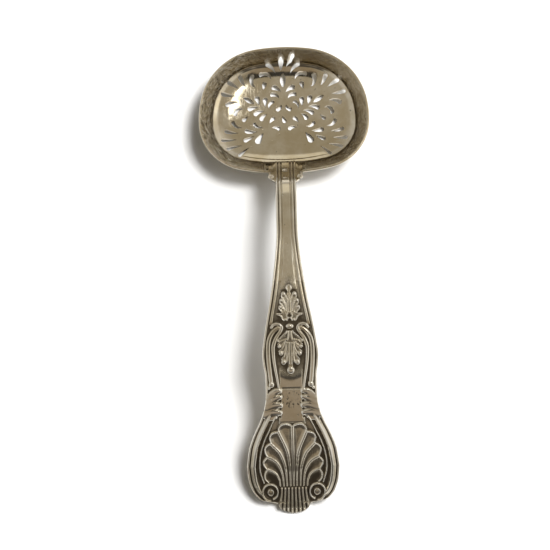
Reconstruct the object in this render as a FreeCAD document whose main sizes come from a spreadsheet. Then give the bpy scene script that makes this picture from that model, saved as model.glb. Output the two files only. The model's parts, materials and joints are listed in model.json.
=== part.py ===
import FreeCAD, Part
import math
import os

import Sketcher
from FreeCAD import Placement, Rotation, Vector

# Sugar sifter spoon: a pierced oval bowl raised from sheet, carried on an arched handle
# struck with threads, two palmettes and a shell.
# Millimetres. The origin is the middle of the flat foot under the bowl. X runs across the
# spoon, +Y points away from the handle and +Z up. The spoon rests on the bowl's foot and on
# the turned-down tip of the handle.

DRIVING_SIZES = [
    # Bowl: plan of the rim, measured from the line where it is widest
    ("bowl_width", 57.6),
    ("bowl_front", 25.4),
    ("bowl_back", 19.6),
    ("side_radius", 32.8),
    ("front_radius", 60.8),
    ("front_corner", 22.8),
    ("back_radius", 70.8),
    ("back_corner", 17.5),
    # Bowl: how far the outside has drawn in at each height, and the bend's step from there
    ("rim_height", 12.5),
    ("upper_height", 9.0),
    ("upper_inset", 2.2),
    ("lower_height", 4.6),
    ("lower_inset", 4.1),
    ("bend_height", 2.8),
    ("bend_step", 1.8),
    ("metal", 1.0),
    ("rim_round", 0.3),
    # Piercing: how wide the holes' heads are against the pattern's own width
    ("head_scale", 1.0),
    # Handle: places along it, measured back from the bowl's widest line
    ("stem_start", 24.4),
    ("stem_end", 41.0),
    ("crown_reach", 48.0),
    ("shoulder_reach", 80.6),
    ("waist_reach", 90.0),
    ("shell_reach", 114.2),
    ("tip_base", 125.8),
    ("handle_reach", 128.5),
    # Handle: widths, heights and thicknesses
    ("tab_width", 13.0),
    ("stem_width", 6.6),
    ("shoulder_width", 17.7),
    ("waist_width", 16.1),
    ("shell_width", 29.4),
    ("tip_width", 10.0),
    ("crown_height", 25.4),
    ("tip_height", 1.9),
    ("over_rim", 2.4),
    ("tongue_metal", 0.8),
    ("lug_metal", 1.5),
    ("stem_metal", 2.7),
    ("end_metal", 2.1),
    # Struck ornament
    ("low_relief", 0.35),
    ("high_relief", 0.7),
    ("relief_root", 0.5),
    ("edge_inset", 0.1),
    ("thread_width", 0.6),
    ("thread_gap", 0.4),
    ("band_width", 1.9),
    ("line_width", 0.5),
    ("panel_width", 6.4),
    ("pellet_radius", 1.05),
    ("lobe_radius", 0.85),
    ("leaf_radius", 0.7),
    ("hook_radius", 1.7),
    ("shell_lobe", 1.85),
    ("volute_radius", 2.3),
    ("flute_width", 0.8),
    # Joint pieces
    ("drop_metal", 0.9),
    ("drop_width", 9.0),
    ("drop_foot", 1.9),
    ("seam_width", 0.55),
    ("seam_rise", 0.35),
    ("scroll_radius", 0.78),
    ("scroll_wire", 0.36),
    ("overrun", 2.0),
]

doc = FreeCAD.newDocument("sugar_sifter_spoon")
sheet = doc.addObject("Spreadsheet::Sheet", "Sizes")
for row, (alias, number) in enumerate(DRIVING_SIZES, start=1):
    sheet.set(f"A{row}", alias)
    sheet.set(f"B{row}", str(number))
    sheet.setAlias(f"B{row}", alias)
doc.recompute()


def size(alias):
    """The sheet's number under this alias."""
    return float(getattr(sheet, alias))


def total(terms):
    """Adds up terms, each an alias and the factor it counts with."""
    return sum(size(alias) * factor for alias, factor in terms)


def formula(terms):
    """The same sum as an expression on the sheet."""
    return " + ".join(f"Sizes.{alias} * {factor}" for alias, factor in terms) or "0"


# Bowl. The rim's plan is eight arcs that run into each other: two sides, two corners at the
# front, two at the back, and the shallow front and back. Each lower section is the same plan
# drawn in by an inset, and the floor's sections are the bend's plan made smaller.

RIM_ARCS = ("right", "front_right", "front", "front_left", "left", "back_left", "back", "back_right")
FOOT_SHARE = 0.34
WALL_SLANT_SHARE = 1.1
BEND_SHIFT_SHARE = 0.5
BEND_RISE_SHARE = 0.85
LOWER_RISE_SHARE = 0.25

# Each section: the inset's terms, the share of full size, the height's terms
OUTSIDE = [
    ([], 1.0, [("rim_height", 1.0)]),
    ([("upper_inset", 1.0)], 1.0, [("upper_height", 1.0)]),
    ([("lower_inset", 1.0)], 1.0, [("lower_height", 1.0)]),
    ([("lower_inset", 1.0), ("bend_step", 1.0)], 1.0, [("bend_height", 1.0)]),
    ([("lower_inset", 1.0), ("bend_step", 1.0)], FOOT_SHARE, []),
]


def grown(sections, alias, sign):
    """The same form with its surface moved in (+1) or out (-1) by a thickness."""
    slant = (alias, WALL_SLANT_SHARE * sign)
    shifts = [
        ([slant], []),
        ([slant], []),
        ([slant], [(alias, LOWER_RISE_SHARE * sign)]),
        ([(alias, BEND_SHIFT_SHARE * sign)], [(alias, BEND_RISE_SHARE * sign)]),
        ([], [(alias, sign)]),
    ]
    return [
        (inset + more_inset, share, height + more_height)
        for (inset, share, height), (more_inset, more_height) in zip(sections, shifts)
    ]


INSIDE = grown(OUTSIDE, "metal", 1.0)


def base_plane(body):
    return next(item for item in body.Origin.OriginFeatures if item.Role == "XY_Plane")


def meeting_centre(first, second, first_span, second_span):
    """Centres of the corner arc that runs inside both neighbours."""
    across = second - first
    length = across.Length
    along = Vector(across) / length
    reach = (first_span ** 2 - second_span ** 2 + length ** 2) / (2 * length)
    rise = math.sqrt(first_span ** 2 - reach ** 2)
    normal = Vector(-along.y, along.x, 0)
    middle = first + along * reach
    return middle + normal * rise, middle - normal * rise


def heading(start, end):
    return math.atan2(end.y - start.y, end.x - start.x)


def oval_sketch(body, name, inset, share, height):
    """The rim's plan as eight tangent arcs, drawn in by an inset and held at a height."""
    sketch = body.newObject("Sketcher::SketchObject", name)
    sketch.AttachmentSupport = [(base_plane(body), "")]
    sketch.MapMode = "FlatFace"
    sketch.AttachmentOffset = Placement(Vector(0, 0, total(height)), Rotation())
    sketch.setExpression("AttachmentOffset.Base.z", formula(height))

    def drawn(alias, factor=1.0):
        return (size(alias) * factor - total(inset)) * share

    def drawn_formula(alias, factor=1.0):
        return f"(Sizes.{alias} * {factor} - ({formula(inset)})) * {share}"

    half, front, back = drawn("bowl_width", 0.5), drawn("bowl_front"), drawn("bowl_back")
    side_r, front_r, back_r = drawn("side_radius"), drawn("front_radius"), drawn("back_radius")
    front_c, back_c = drawn("front_corner"), drawn("back_corner")
    side = Vector(half - side_r, 0, 0)
    ahead = Vector(0, front - front_r, 0)
    behind = Vector(0, back_r - back, 0)
    front_corner = max(
        meeting_centre(side, ahead, side_r - front_c, front_r - front_c),
        key=lambda point: point.x + point.y,
    )
    back_corner = max(
        meeting_centre(side, behind, side_r - back_c, back_r - back_c),
        key=lambda point: point.x - point.y,
    )

    def opposite(point):
        return Vector(-point.x, point.y, 0)

    side_front, corner_front = heading(side, front_corner), heading(ahead, front_corner)
    side_back, corner_back = heading(side, back_corner), heading(behind, back_corner)
    half_turn, whole_turn = math.pi, 2 * math.pi
    arcs = [
        (side, side_r, side_back, side_front),
        (front_corner, front_c, side_front, corner_front),
        (ahead, front_r, corner_front, half_turn - corner_front),
        (opposite(front_corner), front_c, half_turn - corner_front, half_turn - side_front),
        (opposite(side), side_r, half_turn - side_front, half_turn - side_back),
        (opposite(back_corner), back_c, half_turn - side_back, half_turn - corner_back),
        (behind, back_r, half_turn - corner_back, whole_turn + corner_back),
        (back_corner, back_c, corner_back, side_back),
    ]
    for centre, radius, start, end in arcs:
        while end < start:
            end += whole_turn
        circle = Part.Circle(centre, Vector(0, 0, 1), radius)
        sketch.addGeometry(Part.ArcOfCircle(circle, start, end), False)

    arc = {label: index for index, label in enumerate(RIM_ARCS)}
    start_point, end_point, centre_point = 1, 2, 3
    across_axis, along_axis = -1, -2
    for index in range(len(RIM_ARCS)):
        following = (index + 1) % len(RIM_ARCS)
        sketch.addConstraint(
            Sketcher.Constraint("Tangent", index, end_point, following, start_point)
        )
    for label in ("front", "back"):
        sketch.addConstraint(
            Sketcher.Constraint("PointOnObject", arc[label], centre_point, along_axis)
        )
    sketch.addConstraint(
        Sketcher.Constraint("PointOnObject", arc["right"], centre_point, across_axis)
    )
    for label in ("front_", "back_", ""):
        sketch.addConstraint(
            Sketcher.Constraint("Equal", arc[label + "right"], arc[label + "left"])
        )
    sketch.addConstraint(
        Sketcher.Constraint(
            "Symmetric", arc["right"], centre_point, arc["left"], centre_point, across_axis, start_point
        )
    )

    def held(kind, places, value, label, expression):
        index = sketch.addConstraint(Sketcher.Constraint(kind, *places, value))
        sketch.renameConstraint(index, label)
        sketch.setExpression("Constraints." + label, expression)

    origin = (across_axis, start_point)
    held("Radius", (arc["right"],), side_r, "side", drawn_formula("side_radius"))
    held("Radius", (arc["front"],), front_r, "ahead", drawn_formula("front_radius"))
    held("Radius", (arc["back"],), back_r, "behind", drawn_formula("back_radius"))
    held("Radius", (arc["front_right"],), front_c, "front_bend", drawn_formula("front_corner"))
    held("Radius", (arc["back_right"],), back_c, "back_bend", drawn_formula("back_corner"))
    held(
        "DistanceX", (arc["right"], centre_point, *origin), side_r - half, "side_centre",
        drawn_formula("side_radius") + " - " + drawn_formula("bowl_width", 0.5),
    )
    held(
        "DistanceY", (arc["front"], centre_point, *origin), front_r - front, "ahead_centre",
        drawn_formula("front_radius") + " - " + drawn_formula("bowl_front"),
    )
    held(
        "DistanceY", (*origin, arc["back"], centre_point), back_r - back, "behind_centre",
        drawn_formula("back_radius") + " - " + drawn_formula("bowl_back"),
    )
    return sketch


def oval_loft(body, name, kind, sections):
    sketches = [
        oval_sketch(body, f"{name}_section_{index}", inset, share, height)
        for index, (inset, share, height) in enumerate(sections, start=1)
    ]
    loft = body.newObject("PartDesign::" + kind, name)
    loft.Profile = (sketches[0], [""])
    loft.Sections = [(sketch, [""]) for sketch in sketches[1:]]
    for sketch in sketches:
        sketch.Visibility = False
    return loft


bowl_shell = doc.addObject("PartDesign::Body", "bowl_shell")
oval_loft(bowl_shell, "bowl_outside", "AdditiveLoft", OUTSIDE)
hollow = oval_loft(bowl_shell, "bowl_inside", "SubtractiveLoft", INSIDE)
doc.recompute()


def rim_edges(shape):
    """The long edges that lie in the rim's plane."""
    level, near = size("rim_height"), size("rim_round") / 10
    return [
        f"Edge{index}"
        for index, edge in enumerate(shape.Edges, start=1)
        if all(abs(vertex.Z - level) < near for vertex in edge.Vertexes)
    ]


rim_fillet = bowl_shell.newObject("PartDesign::Fillet", "rim_fillet")
rim_fillet.Base = (hollow, rim_edges(hollow.Shape))
rim_fillet.setExpression("Radius", "Sizes.rim_round")
doc.recompute()

# Piercing. Each hole is a drop: a round head, a pointed tail, and two arcs between them that
# bow to one side. Every place is a share of the bowl: of its half width across, and of its
# whole length back from the front of the rim. The last two shares are the head's radius and
# the bow, both of the hole's own length. The right half is listed and the left mirrors it.

PAIRED_HOLE_SHARES = [
    # The ring along the bend, from the front round to the handle
    (0.180, 0.090, 0.090, 0.145, 0.21, -0.10),
    (0.260, 0.155, 0.145, 0.190, 0.23, -0.30),
    (0.370, 0.170, 0.330, 0.245, 0.23, 0.20),
    (0.510, 0.175, 0.450, 0.240, 0.23, 0.05),
    (0.645, 0.215, 0.530, 0.255, 0.21, -0.03),
    (0.720, 0.300, 0.570, 0.310, 0.18, 0.03),
    (0.670, 0.380, 0.540, 0.360, 0.21, -0.12),
    (0.575, 0.450, 0.485, 0.415, 0.28, -0.30),
    (0.605, 0.525, 0.505, 0.560, 0.23, 0.20),
    (0.690, 0.595, 0.545, 0.605, 0.17, 0.06),
    (0.730, 0.670, 0.565, 0.660, 0.14, 0.00),
    (0.670, 0.740, 0.505, 0.710, 0.13, -0.05),
    (0.535, 0.795, 0.420, 0.725, 0.13, -0.05),
    # The sprays inside the ring
    (0.110, 0.245, 0.030, 0.280, 0.33, -0.08),
    (0.130, 0.300, 0.055, 0.330, 0.34, -0.20),
    (0.225, 0.220, 0.240, 0.260, 0.42, 0.00),
    (0.220, 0.340, 0.220, 0.395, 0.35, 0.00),
    (0.315, 0.330, 0.295, 0.380, 0.40, 0.00),
    (0.135, 0.360, 0.170, 0.410, 0.29, 0.25),
    (0.405, 0.410, 0.295, 0.400, 0.27, -0.08),
    (0.335, 0.450, 0.230, 0.430, 0.27, -0.12),
    (0.265, 0.490, 0.200, 0.455, 0.34, -0.15),
    (0.070, 0.415, 0.030, 0.380, 0.40, 0.20),
    (0.130, 0.490, 0.170, 0.525, 0.38, 0.08),
    (0.070, 0.570, 0.150, 0.565, 0.32, 0.15),
    (0.350, 0.535, 0.255, 0.555, 0.24, 0.20),
    (0.480, 0.500, 0.430, 0.470, 0.34, 0.00),
    (0.445, 0.590, 0.320, 0.595, 0.23, 0.05),
    (0.465, 0.665, 0.360, 0.630, 0.22, 0.00),
    (0.315, 0.670, 0.250, 0.605, 0.32, -0.03),
]
# Holes with no twin: the hand-cut fan at the front and the middle of the lowest row
SINGLE_HOLE_SHARES = [
    (-0.020, 0.070, -0.025, 0.130, 0.32, 0.00),
    (0.120, 0.060, 0.040, 0.105, 0.23, -0.08),
    (0.005, 0.510, -0.020, 0.470, 0.38, 0.00),
]
# Leaves, pointed at both ends: the two ends, then the half width as a share of the length
PAIRED_LEAF_SHARES = [(0.485, 0.315, 0.355, 0.370, 0.18)]
SINGLE_LEAF_SHARES = [(0.000, 0.145, -0.005, 0.245, 0.20)]
FLANK_SHARE = 0.62


def beside(along):
    return Vector(-along.y, along.x, 0)


def drop_face(head, tail, radius, bow=0.0):
    """A drop: an arc round the head's centre and a bowed arc down each side to the tail."""
    along = (tail - head).normalize()
    side = beside(along)
    left, right = head + side * radius, head - side * radius
    middle = (head + tail) * 0.5 + side * bow
    edges = [
        Part.Arc(right, head - along * radius, left).toShape(),
        Part.Arc(left, middle + side * radius * FLANK_SHARE, tail).toShape(),
        Part.Arc(tail, middle - side * radius * FLANK_SHARE, right).toShape(),
    ]
    return Part.Face(Part.Wire(edges))


def leaf_face(first, last, half):
    """A leaf with a point at each end."""
    side = beside((last - first).normalize())
    middle = (first + last) * 0.5
    edges = [
        Part.Arc(first, middle + side * half, last).toShape(),
        Part.Arc(last, middle - side * half, first).toShape(),
    ]
    return Part.Face(Part.Wire(edges))


def bowl_place(across_share, back_share):
    length = size("bowl_front") + size("bowl_back")
    return Vector(
        size("bowl_width") / 2 * across_share, size("bowl_front") - length * back_share, 0
    )


def hole(row, hand):
    head_x, head_y, tail_x, tail_y, radius_share, bow_share = row
    head, tail = bowl_place(head_x * hand, head_y), bowl_place(tail_x * hand, tail_y)
    length = (tail - head).Length
    radius = length * radius_share * size("head_scale")
    return drop_face(head, tail, radius, length * bow_share * hand)


def leaf_hole(row, hand):
    head_x, head_y, tail_x, tail_y, half_share = row
    first, last = bowl_place(head_x * hand, head_y), bowl_place(tail_x * hand, tail_y)
    return leaf_face(first, last, (last - first).Length * half_share * size("head_scale"))


def pierced_faces():
    faces = [hole(row, hand) for row in PAIRED_HOLE_SHARES for hand in (1, -1)]
    faces += [hole(row, 1) for row in SINGLE_HOLE_SHARES]
    faces += [leaf_hole(row, hand) for row in PAIRED_LEAF_SHARES for hand in (1, -1)]
    faces += [leaf_hole(row, 1) for row in SINGLE_LEAF_SHARES]
    return faces


def flat_outline(name, faces):
    outline = doc.addObject("Part::Feature", name + "_outline")
    outline.Shape = faces[0] if len(faces) == 1 else Part.Compound(faces)
    outline.Visibility = False
    return outline


def upright(name, faces, height_alias):
    """Blocks that stand on flat outlines, past the named height by an overrun."""
    solid = doc.addObject("Part::Extrusion", name)
    solid.Base = flat_outline(name, faces)
    solid.DirMode = "Custom"
    solid.Dir = Vector(0, 0, 1)
    solid.Solid = True
    solid.setExpression("LengthFwd", f"Sizes.{height_alias} + Sizes.overrun")
    solid.setExpression("LengthRev", "Sizes.overrun")
    return solid


def from_the_side(name, face, width_alias):
    """A block whose outline is seen from the side, to both sides of the middle."""
    solid = doc.addObject("Part::Extrusion", name)
    solid.Base = flat_outline(name, [face])
    solid.DirMode = "Custom"
    solid.Dir = Vector(1, 0, 0)
    solid.Solid = True
    solid.Symmetric = True
    solid.setExpression("LengthFwd", f"Sizes.{width_alias} + Sizes.overrun")
    return solid


def joined(kind, name, shapes):
    """A fuse or common of several solids."""
    result = doc.addObject("Part::" + kind, name)
    result.Shapes = list(shapes)
    return result


def cut(name, base, tool):
    result = doc.addObject("Part::Cut", name)
    result.Base = base
    result.Tool = tool
    return result


pierced_bowl = cut("pierced_bowl", bowl_shell, upright("piercing", pierced_faces(), "rim_height"))
doc.recompute()

# Handle outline, seen from above: how far back each place lies and its half width there.

TAB_SHARES = [(0.0, 0.0), (0.36, 0.06), (0.6, 0.17), (0.75, 0.31), (0.86, 0.62), (0.93, 0.9), (1.0, 1.0)]
STEM_TO_SHOULDER_SHARES = [
    (0.17, 0.08), (0.37, 0.257), (0.57, 0.48), (0.73, 0.704), (0.885, 0.90), (1.0, 1.0),
]
SHOULDER_TO_WAIST_SHARES = [(0.31, 0.30), (0.65, 0.93), (1.0, 1.0)]
WAIST_TO_SHELL_SHARES = [
    (0.17, 0.02), (0.29, 0.106), (0.43, 0.30), (0.61, 0.632), (0.785, 0.873), (1.0, 1.0),
]
SHELL_TO_TIP_SHARES = [(0.31, 0.045), (0.60, 0.207), (0.81, 0.402), (0.92, 0.65), (1.0, 1.0)]


def span(first, last, shares):
    """Places between two named ones, each a share of the way along and across."""
    return [
        (
            first[0] + (last[0] - first[0]) * along,
            first[1] + (last[1] - first[1]) * across,
        )
        for along, across in shares
    ]


def even_slope(before, after):
    """The slope at a place between two runs, flat where they turn back."""
    if before * after <= 0:
        return 0.0
    return 2 * before * after / (before + after)


def smooth_value(table, place):
    """Reads a table of places and values along a smooth curve that never overshoots."""
    if place <= table[0][0]:
        return table[0][1]
    if place >= table[-1][0]:
        return table[-1][1]
    slopes = [(v1 - v0) / (x1 - x0) for (x0, v0), (x1, v1) in zip(table, table[1:])]
    index = next(i for i, (x1, _) in enumerate(table[1:]) if place <= x1)
    (x0, v0), (x1, v1) = table[index], table[index + 1]
    before = even_slope(slopes[index - 1], slopes[index]) if index else slopes[index]
    last = index + 1 == len(slopes)
    after = slopes[index] if last else even_slope(slopes[index], slopes[index + 1])
    run = x1 - x0
    t = (place - x0) / run
    return (
        v0 * (1 + 2 * t) * (1 - t) ** 2
        + before * run * t * (1 - t) ** 2
        + v1 * t * t * (3 - 2 * t)
        + after * run * t * t * (t - 1)
    )


# The tongue's foot lies halfway up the bowl's inner wall, above the bend
FOOT_BACK_SHARE = 0.6
FOOT_RISE_SHARE = 1.45
tongue_foot = size("bowl_back") - size("lower_inset") - size("metal") * FOOT_BACK_SHARE
stem_half = size("stem_width") / 2
HALF_WIDTHS = [(size("stem_start"), stem_half), (size("stem_end"), stem_half)]
for last, width, shares in (
    ("shoulder_reach", "shoulder_width", STEM_TO_SHOULDER_SHARES),
    ("waist_reach", "waist_width", SHOULDER_TO_WAIST_SHARES),
    ("shell_reach", "shell_width", WAIST_TO_SHELL_SHARES),
    ("tip_base", "tip_width", SHELL_TO_TIP_SHARES),
):
    HALF_WIDTHS += span(HALF_WIDTHS[-1], (size(last), size(width) / 2), shares)
TAB_HALF_WIDTHS = span(
    (tongue_foot, size("tab_width") / 2), (size("stem_start"), stem_half), TAB_SHARES
)

# Handle seen from the side. The top runs from the tongue's foot in the bowl, up the inner
# wall, over the rim, along the arch and down to the tip.

RISE_SHARES = [(0.11, 0.367), (0.212, 0.595), (0.384, 0.81), (0.658, 0.962), (1.0, 1.0)]
FALL_SHARES = [
    (0.174, 0.034), (0.398, 0.156), (0.584, 0.338), (0.745, 0.561), (0.87, 0.768),
    (0.9565, 0.9156), (1.0, 1.0),
]
TIP_ROUND_SHARE = 0.16
wall_and_tongue = (size("metal") + size("tongue_metal")) * WALL_SLANT_SHARE
RIM_TOP = (size("bowl_back"), size("rim_height") + size("over_rim"))
CROWN = (size("crown_reach"), size("crown_height"))
TIP_TOP = (size("handle_reach") - size("tip_height") * TIP_ROUND_SHARE, size("tip_height"))
TOP = [
    (tongue_foot, size("lower_height") * FOOT_RISE_SHARE),
    (size("bowl_back") - size("upper_inset") - wall_and_tongue, size("upper_height")),
    (size("bowl_back") - wall_and_tongue, size("rim_height")),
    RIM_TOP,
]
TOP += span(RIM_TOP, CROWN, RISE_SHARES) + span(CROWN, TIP_TOP, FALL_SHARES)

# The underside: down the lug behind the bowl's wall, then the metal's thickness below the top

STEM_DEPTH_SHARES = [(0.212, 1.22), (0.384, 1.07), (0.658, 1.0), (1.0, 1.0)]
LUG_OUT_SHARES = (0.45, 1.0, 1.3)
LUG_FOOT_SHARE = 1.18
HEEL_SHARE = 0.55
IN_WALL_RISE_SHARE = 1.28
DEPTHS = [
    (RIM_TOP[0] + (CROWN[0] - RIM_TOP[0]) * along, size("stem_metal") * depth)
    for along, depth in STEM_DEPTH_SHARES
]
DEPTHS += [(size("shoulder_reach"), size("end_metal")), (size("handle_reach"), size("end_metal"))]
UNDER_PLACES = [place for place, _ in DEPTHS[:-1]]
UNDER_PLACES += [place for place, _ in TOP[:-1] if place > size("shoulder_reach")]


def side_point(reach, height):
    return Vector(0, -reach, height)


def curve(points):
    spline = Part.BSplineCurve()
    spline.interpolate(points)
    return spline.toShape()


def line(first, last):
    return Part.LineSegment(first, last).toShape()


def side_face():
    """The whole handle from the side."""
    top = [side_point(*place) for place in TOP]
    lug_levels = (
        (size("lower_inset"), size("lower_height") * LUG_FOOT_SHARE),
        (size("upper_inset"), size("upper_height")),
        (0, size("rim_height")),
    )
    under = [
        side_point(size("bowl_back") - inset + size("lug_metal") * out, height)
        for (inset, height), out in zip(lug_levels, LUG_OUT_SHARES)
    ]
    under += [
        side_point(place, smooth_value(TOP, place) - smooth_value(DEPTHS, place))
        for place in UNDER_PLACES
    ]
    heel = side_point(size("handle_reach") - size("tip_height") * HEEL_SHARE, 0)
    nose = side_point(size("handle_reach"), size("tip_height") / 2)
    in_wall = side_point(
        size("bowl_back") - size("lower_inset"), size("lower_height") * IN_WALL_RISE_SHARE
    )
    edges = [
        curve(top),
        Part.Arc(top[-1], nose, heel).toShape(),
        curve([heel] + under[::-1]),
        line(under[0], in_wall),
        line(in_wall, top[0]),
    ]
    return Part.Face(Part.Wire(edges))


def layer_face(rise):
    """A layer along the handle's top, from a little below it to a rise above it."""
    above = [side_point(place, height + rise) for place, height in TOP]
    below = [side_point(place, height - size("relief_root")) for place, height in TOP]
    edges = [curve(above), line(above[-1], below[-1]), curve(below[::-1]), line(below[0], above[0])]
    return Part.Face(Part.Wire(edges))


def flipped(points):
    return [Vector(-point.x, point.y, point.z) for point in points]


def table_points(table):
    return [Vector(half, -reach, 0) for reach, half in table]


def plan_face():
    """The whole handle from above."""
    tab, edge = table_points(TAB_HALF_WIDTHS), table_points(HALF_WIDTHS)
    edges = [
        line(flipped(tab)[0], tab[0]),
        curve(tab),
        curve(edge),
        Part.Arc(edge[-1], Vector(0, -size("handle_reach"), 0), flipped(edge)[-1]).toShape(),
        curve(flipped(edge)[::-1]),
        curve(flipped(tab)[::-1]),
    ]
    return Part.Face(Part.Wire(edges))


handle_blank = joined("MultiCommon", "handle_blank", [
    from_the_side("handle_side", side_face(), "shell_width"),
    upright("handle_plan", [plan_face()], "crown_height"),
])
doc.recompute()

# Struck ornament. Flat outlines are stood up as blocks, then cut to a layer along the top.
# Places on the handle are shares along one of two zones and across the half width there.

PALMETTES = ("stem_end", "waist_reach")
SHELL = ("waist_reach", "tip_base")


def on_handle(zone, along, across):
    start, end = size(zone[0]), size(zone[1])
    reach = start + (end - start) * along
    return Vector(smooth_value(HALF_WIDTHS, reach) * across, -reach, 0)


def mirrored(faces):
    return faces + [face.mirror(Vector(0, 0, 0), Vector(1, 0, 0)) for face in faces]


def disc(centre, radius):
    return Part.Face(Part.Wire(Part.makeCircle(radius, centre)))


def ring(centre, radius, width):
    return disc(centre, radius).cut(disc(centre, radius - width)).Faces[0]


def stroke(points, width):
    """A ridge of even width along a line through points."""
    sides = []
    for index, point in enumerate(points):
        before, after = points[max(index - 1, 0)], points[min(index + 1, len(points) - 1)]
        sides.append(beside((after - before).normalize()) * (width / 2))
    one = [point + side for point, side in zip(points, sides)]
    other = [point - side for point, side in zip(points, sides)]
    edges = [curve(one), line(one[-1], other[-1]), curve(other[::-1]), line(other[0], one[0])]
    return Part.Face(Part.Wire(edges))


def edge_band(outer_inset, inner_inset, start, end):
    """A band that follows the handle's right edge between two distances in from it."""
    places = [start] + [place for place, _ in HALF_WIDTHS if start < place < end] + [end]
    outer = [Vector(smooth_value(HALF_WIDTHS, at) - outer_inset, -at, 0) for at in places]
    inner = [Vector(smooth_value(HALF_WIDTHS, at) - inner_inset, -at, 0) for at in places]
    edges = [curve(outer), line(outer[-1], inner[-1]), curve(inner[::-1]), line(inner[0], outer[0])]
    return Part.Face(Part.Wire(edges))


# Upper palmette: each lobe's head and tail, along and across
UPPER_LOBE_SHARES = [
    (0.422, 0.30, 0.449, 0.07), (0.465, 0.43, 0.502, 0.08), (0.504, 0.46, 0.535, 0.08),
    (0.549, 0.50, 0.560, 0.10), (0.577, 0.17, 0.604, 0.23),
]
UPPER_STALK_SHARES = (0.398, 0.551)
CORE_END_SHARE = 0.32
# Lower palmette, which hangs the other way up
LOWER_LOBE_SHARES = [
    (0.753, 0.39, 0.710, 0.07), (0.798, 0.33, 0.763, 0.06), (0.851, 0.24, 0.820, 0.05),
]
LOWER_STALK_SHARES = (0.684, 0.878)
PELLET_SHARES = [(0.384, 0.0), (0.626, 0.0), (0.904, 0.0)]
SIDE_PELLET_SHARE = (0.984, 0.74)
# The hooked scroll beside the palmettes and the inner ridge that runs down beside it
HOOK_SHARE = (0.630, 0.50)
HOOK_PELLET_SHARE = 0.35
SCROLL_SHARES = [
    (0.596, 0.52), (0.602, 0.68), (0.630, 0.82), (0.684, 0.86), (0.776, 0.84), (0.857, 0.80),
    (0.943, 0.79),
]
INNER_RIDGE_SHARES = [
    (0.655, 0.68), (0.735, 0.63), (0.816, 0.57), (0.898, 0.51), (0.960, 0.44),
]
# The plain panel between the palmettes and the shell
PANEL_START_SHARE = 0.935
PANEL_END_SHARE = 0.30
# Leaf clusters beside the panel
CLUSTER_SHARES = [
    (0.050, 0.72, 0.073, 0.46), (0.117, 0.72, 0.140, 0.44), (0.184, 0.66, 0.207, 0.40),
    (0.250, 0.58, 0.274, 0.34),
]
# Shell: the lobes' heads, and their tails gathered at the binding
SHELL_LOBE_SHARES = [
    (0.349, 0.176, 0.830, 0.030), (0.430, 0.436, 0.832, 0.095), (0.533, 0.515, 0.838, 0.160),
    (0.648, 0.525, 0.846, 0.220), (0.765, 0.530, 0.856, 0.280),
]
VOLUTE_SHARE = (0.888, 0.585)
FLUTE_STEP_SHARES = (0.115, 0.23)
FLUTE_SPAN_SHARES = (0.862, 1.035)
FLUTE_DROP_SHARE = 0.010
FLUTES_A_SIDE = 3
RIM_BAND_SHARE = 0.93
BROAD_BAND_SHARES = (0.25, 0.79)
INNER_LINE_SHARES = (0.32, 0.76)


def lobes(zone, rows, radius):
    return mirrored([
        drop_face(on_handle(zone, head, head_x), on_handle(zone, tail, tail_x), radius)
        for head, head_x, tail, tail_x in rows
    ])


def reach_of(zone, along):
    return -on_handle(zone, along, 0).y


def low_ornament():
    """Threads, bands, scroll ridges and the plain panel."""
    thread, gap, fine = size("thread_width"), size("thread_gap"), size("line_width")
    edge, start = size("edge_inset"), tongue_foot + size("edge_inset")
    inner = edge + thread + gap
    band_start = inner + gap
    line_start = band_start + size("band_width")
    half = [
        edge_band(edge, edge + thread, start, reach_of(SHELL, RIM_BAND_SHARE)),
        edge_band(inner, inner + thread, start, reach_of(PALMETTES, SCROLL_SHARES[0][0])),
        stroke([on_handle(PALMETTES, *place) for place in SCROLL_SHARES], thread),
        stroke([on_handle(PALMETTES, *place) for place in INNER_RIDGE_SHARES], thread),
        edge_band(band_start, line_start, *(reach_of(SHELL, at) for at in BROAD_BAND_SHARES)),
    ]
    for step in (1, 3):
        inset = line_start + fine * step
        half.append(
            edge_band(inset, inset + fine, *(reach_of(SHELL, at) for at in INNER_LINE_SHARES))
        )
    middle = [Vector(0, -start, 0), on_handle(PALMETTES, CORE_END_SHARE, 0)]
    core = stroke(middle, size("stem_width") - 2 * (inner + thread + gap))
    panel = stroke(
        [on_handle(PALMETTES, PANEL_START_SHARE, 0), on_handle(SHELL, PANEL_END_SHARE, 0)],
        size("panel_width"),
    )
    return mirrored(half) + [core, panel]


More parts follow.
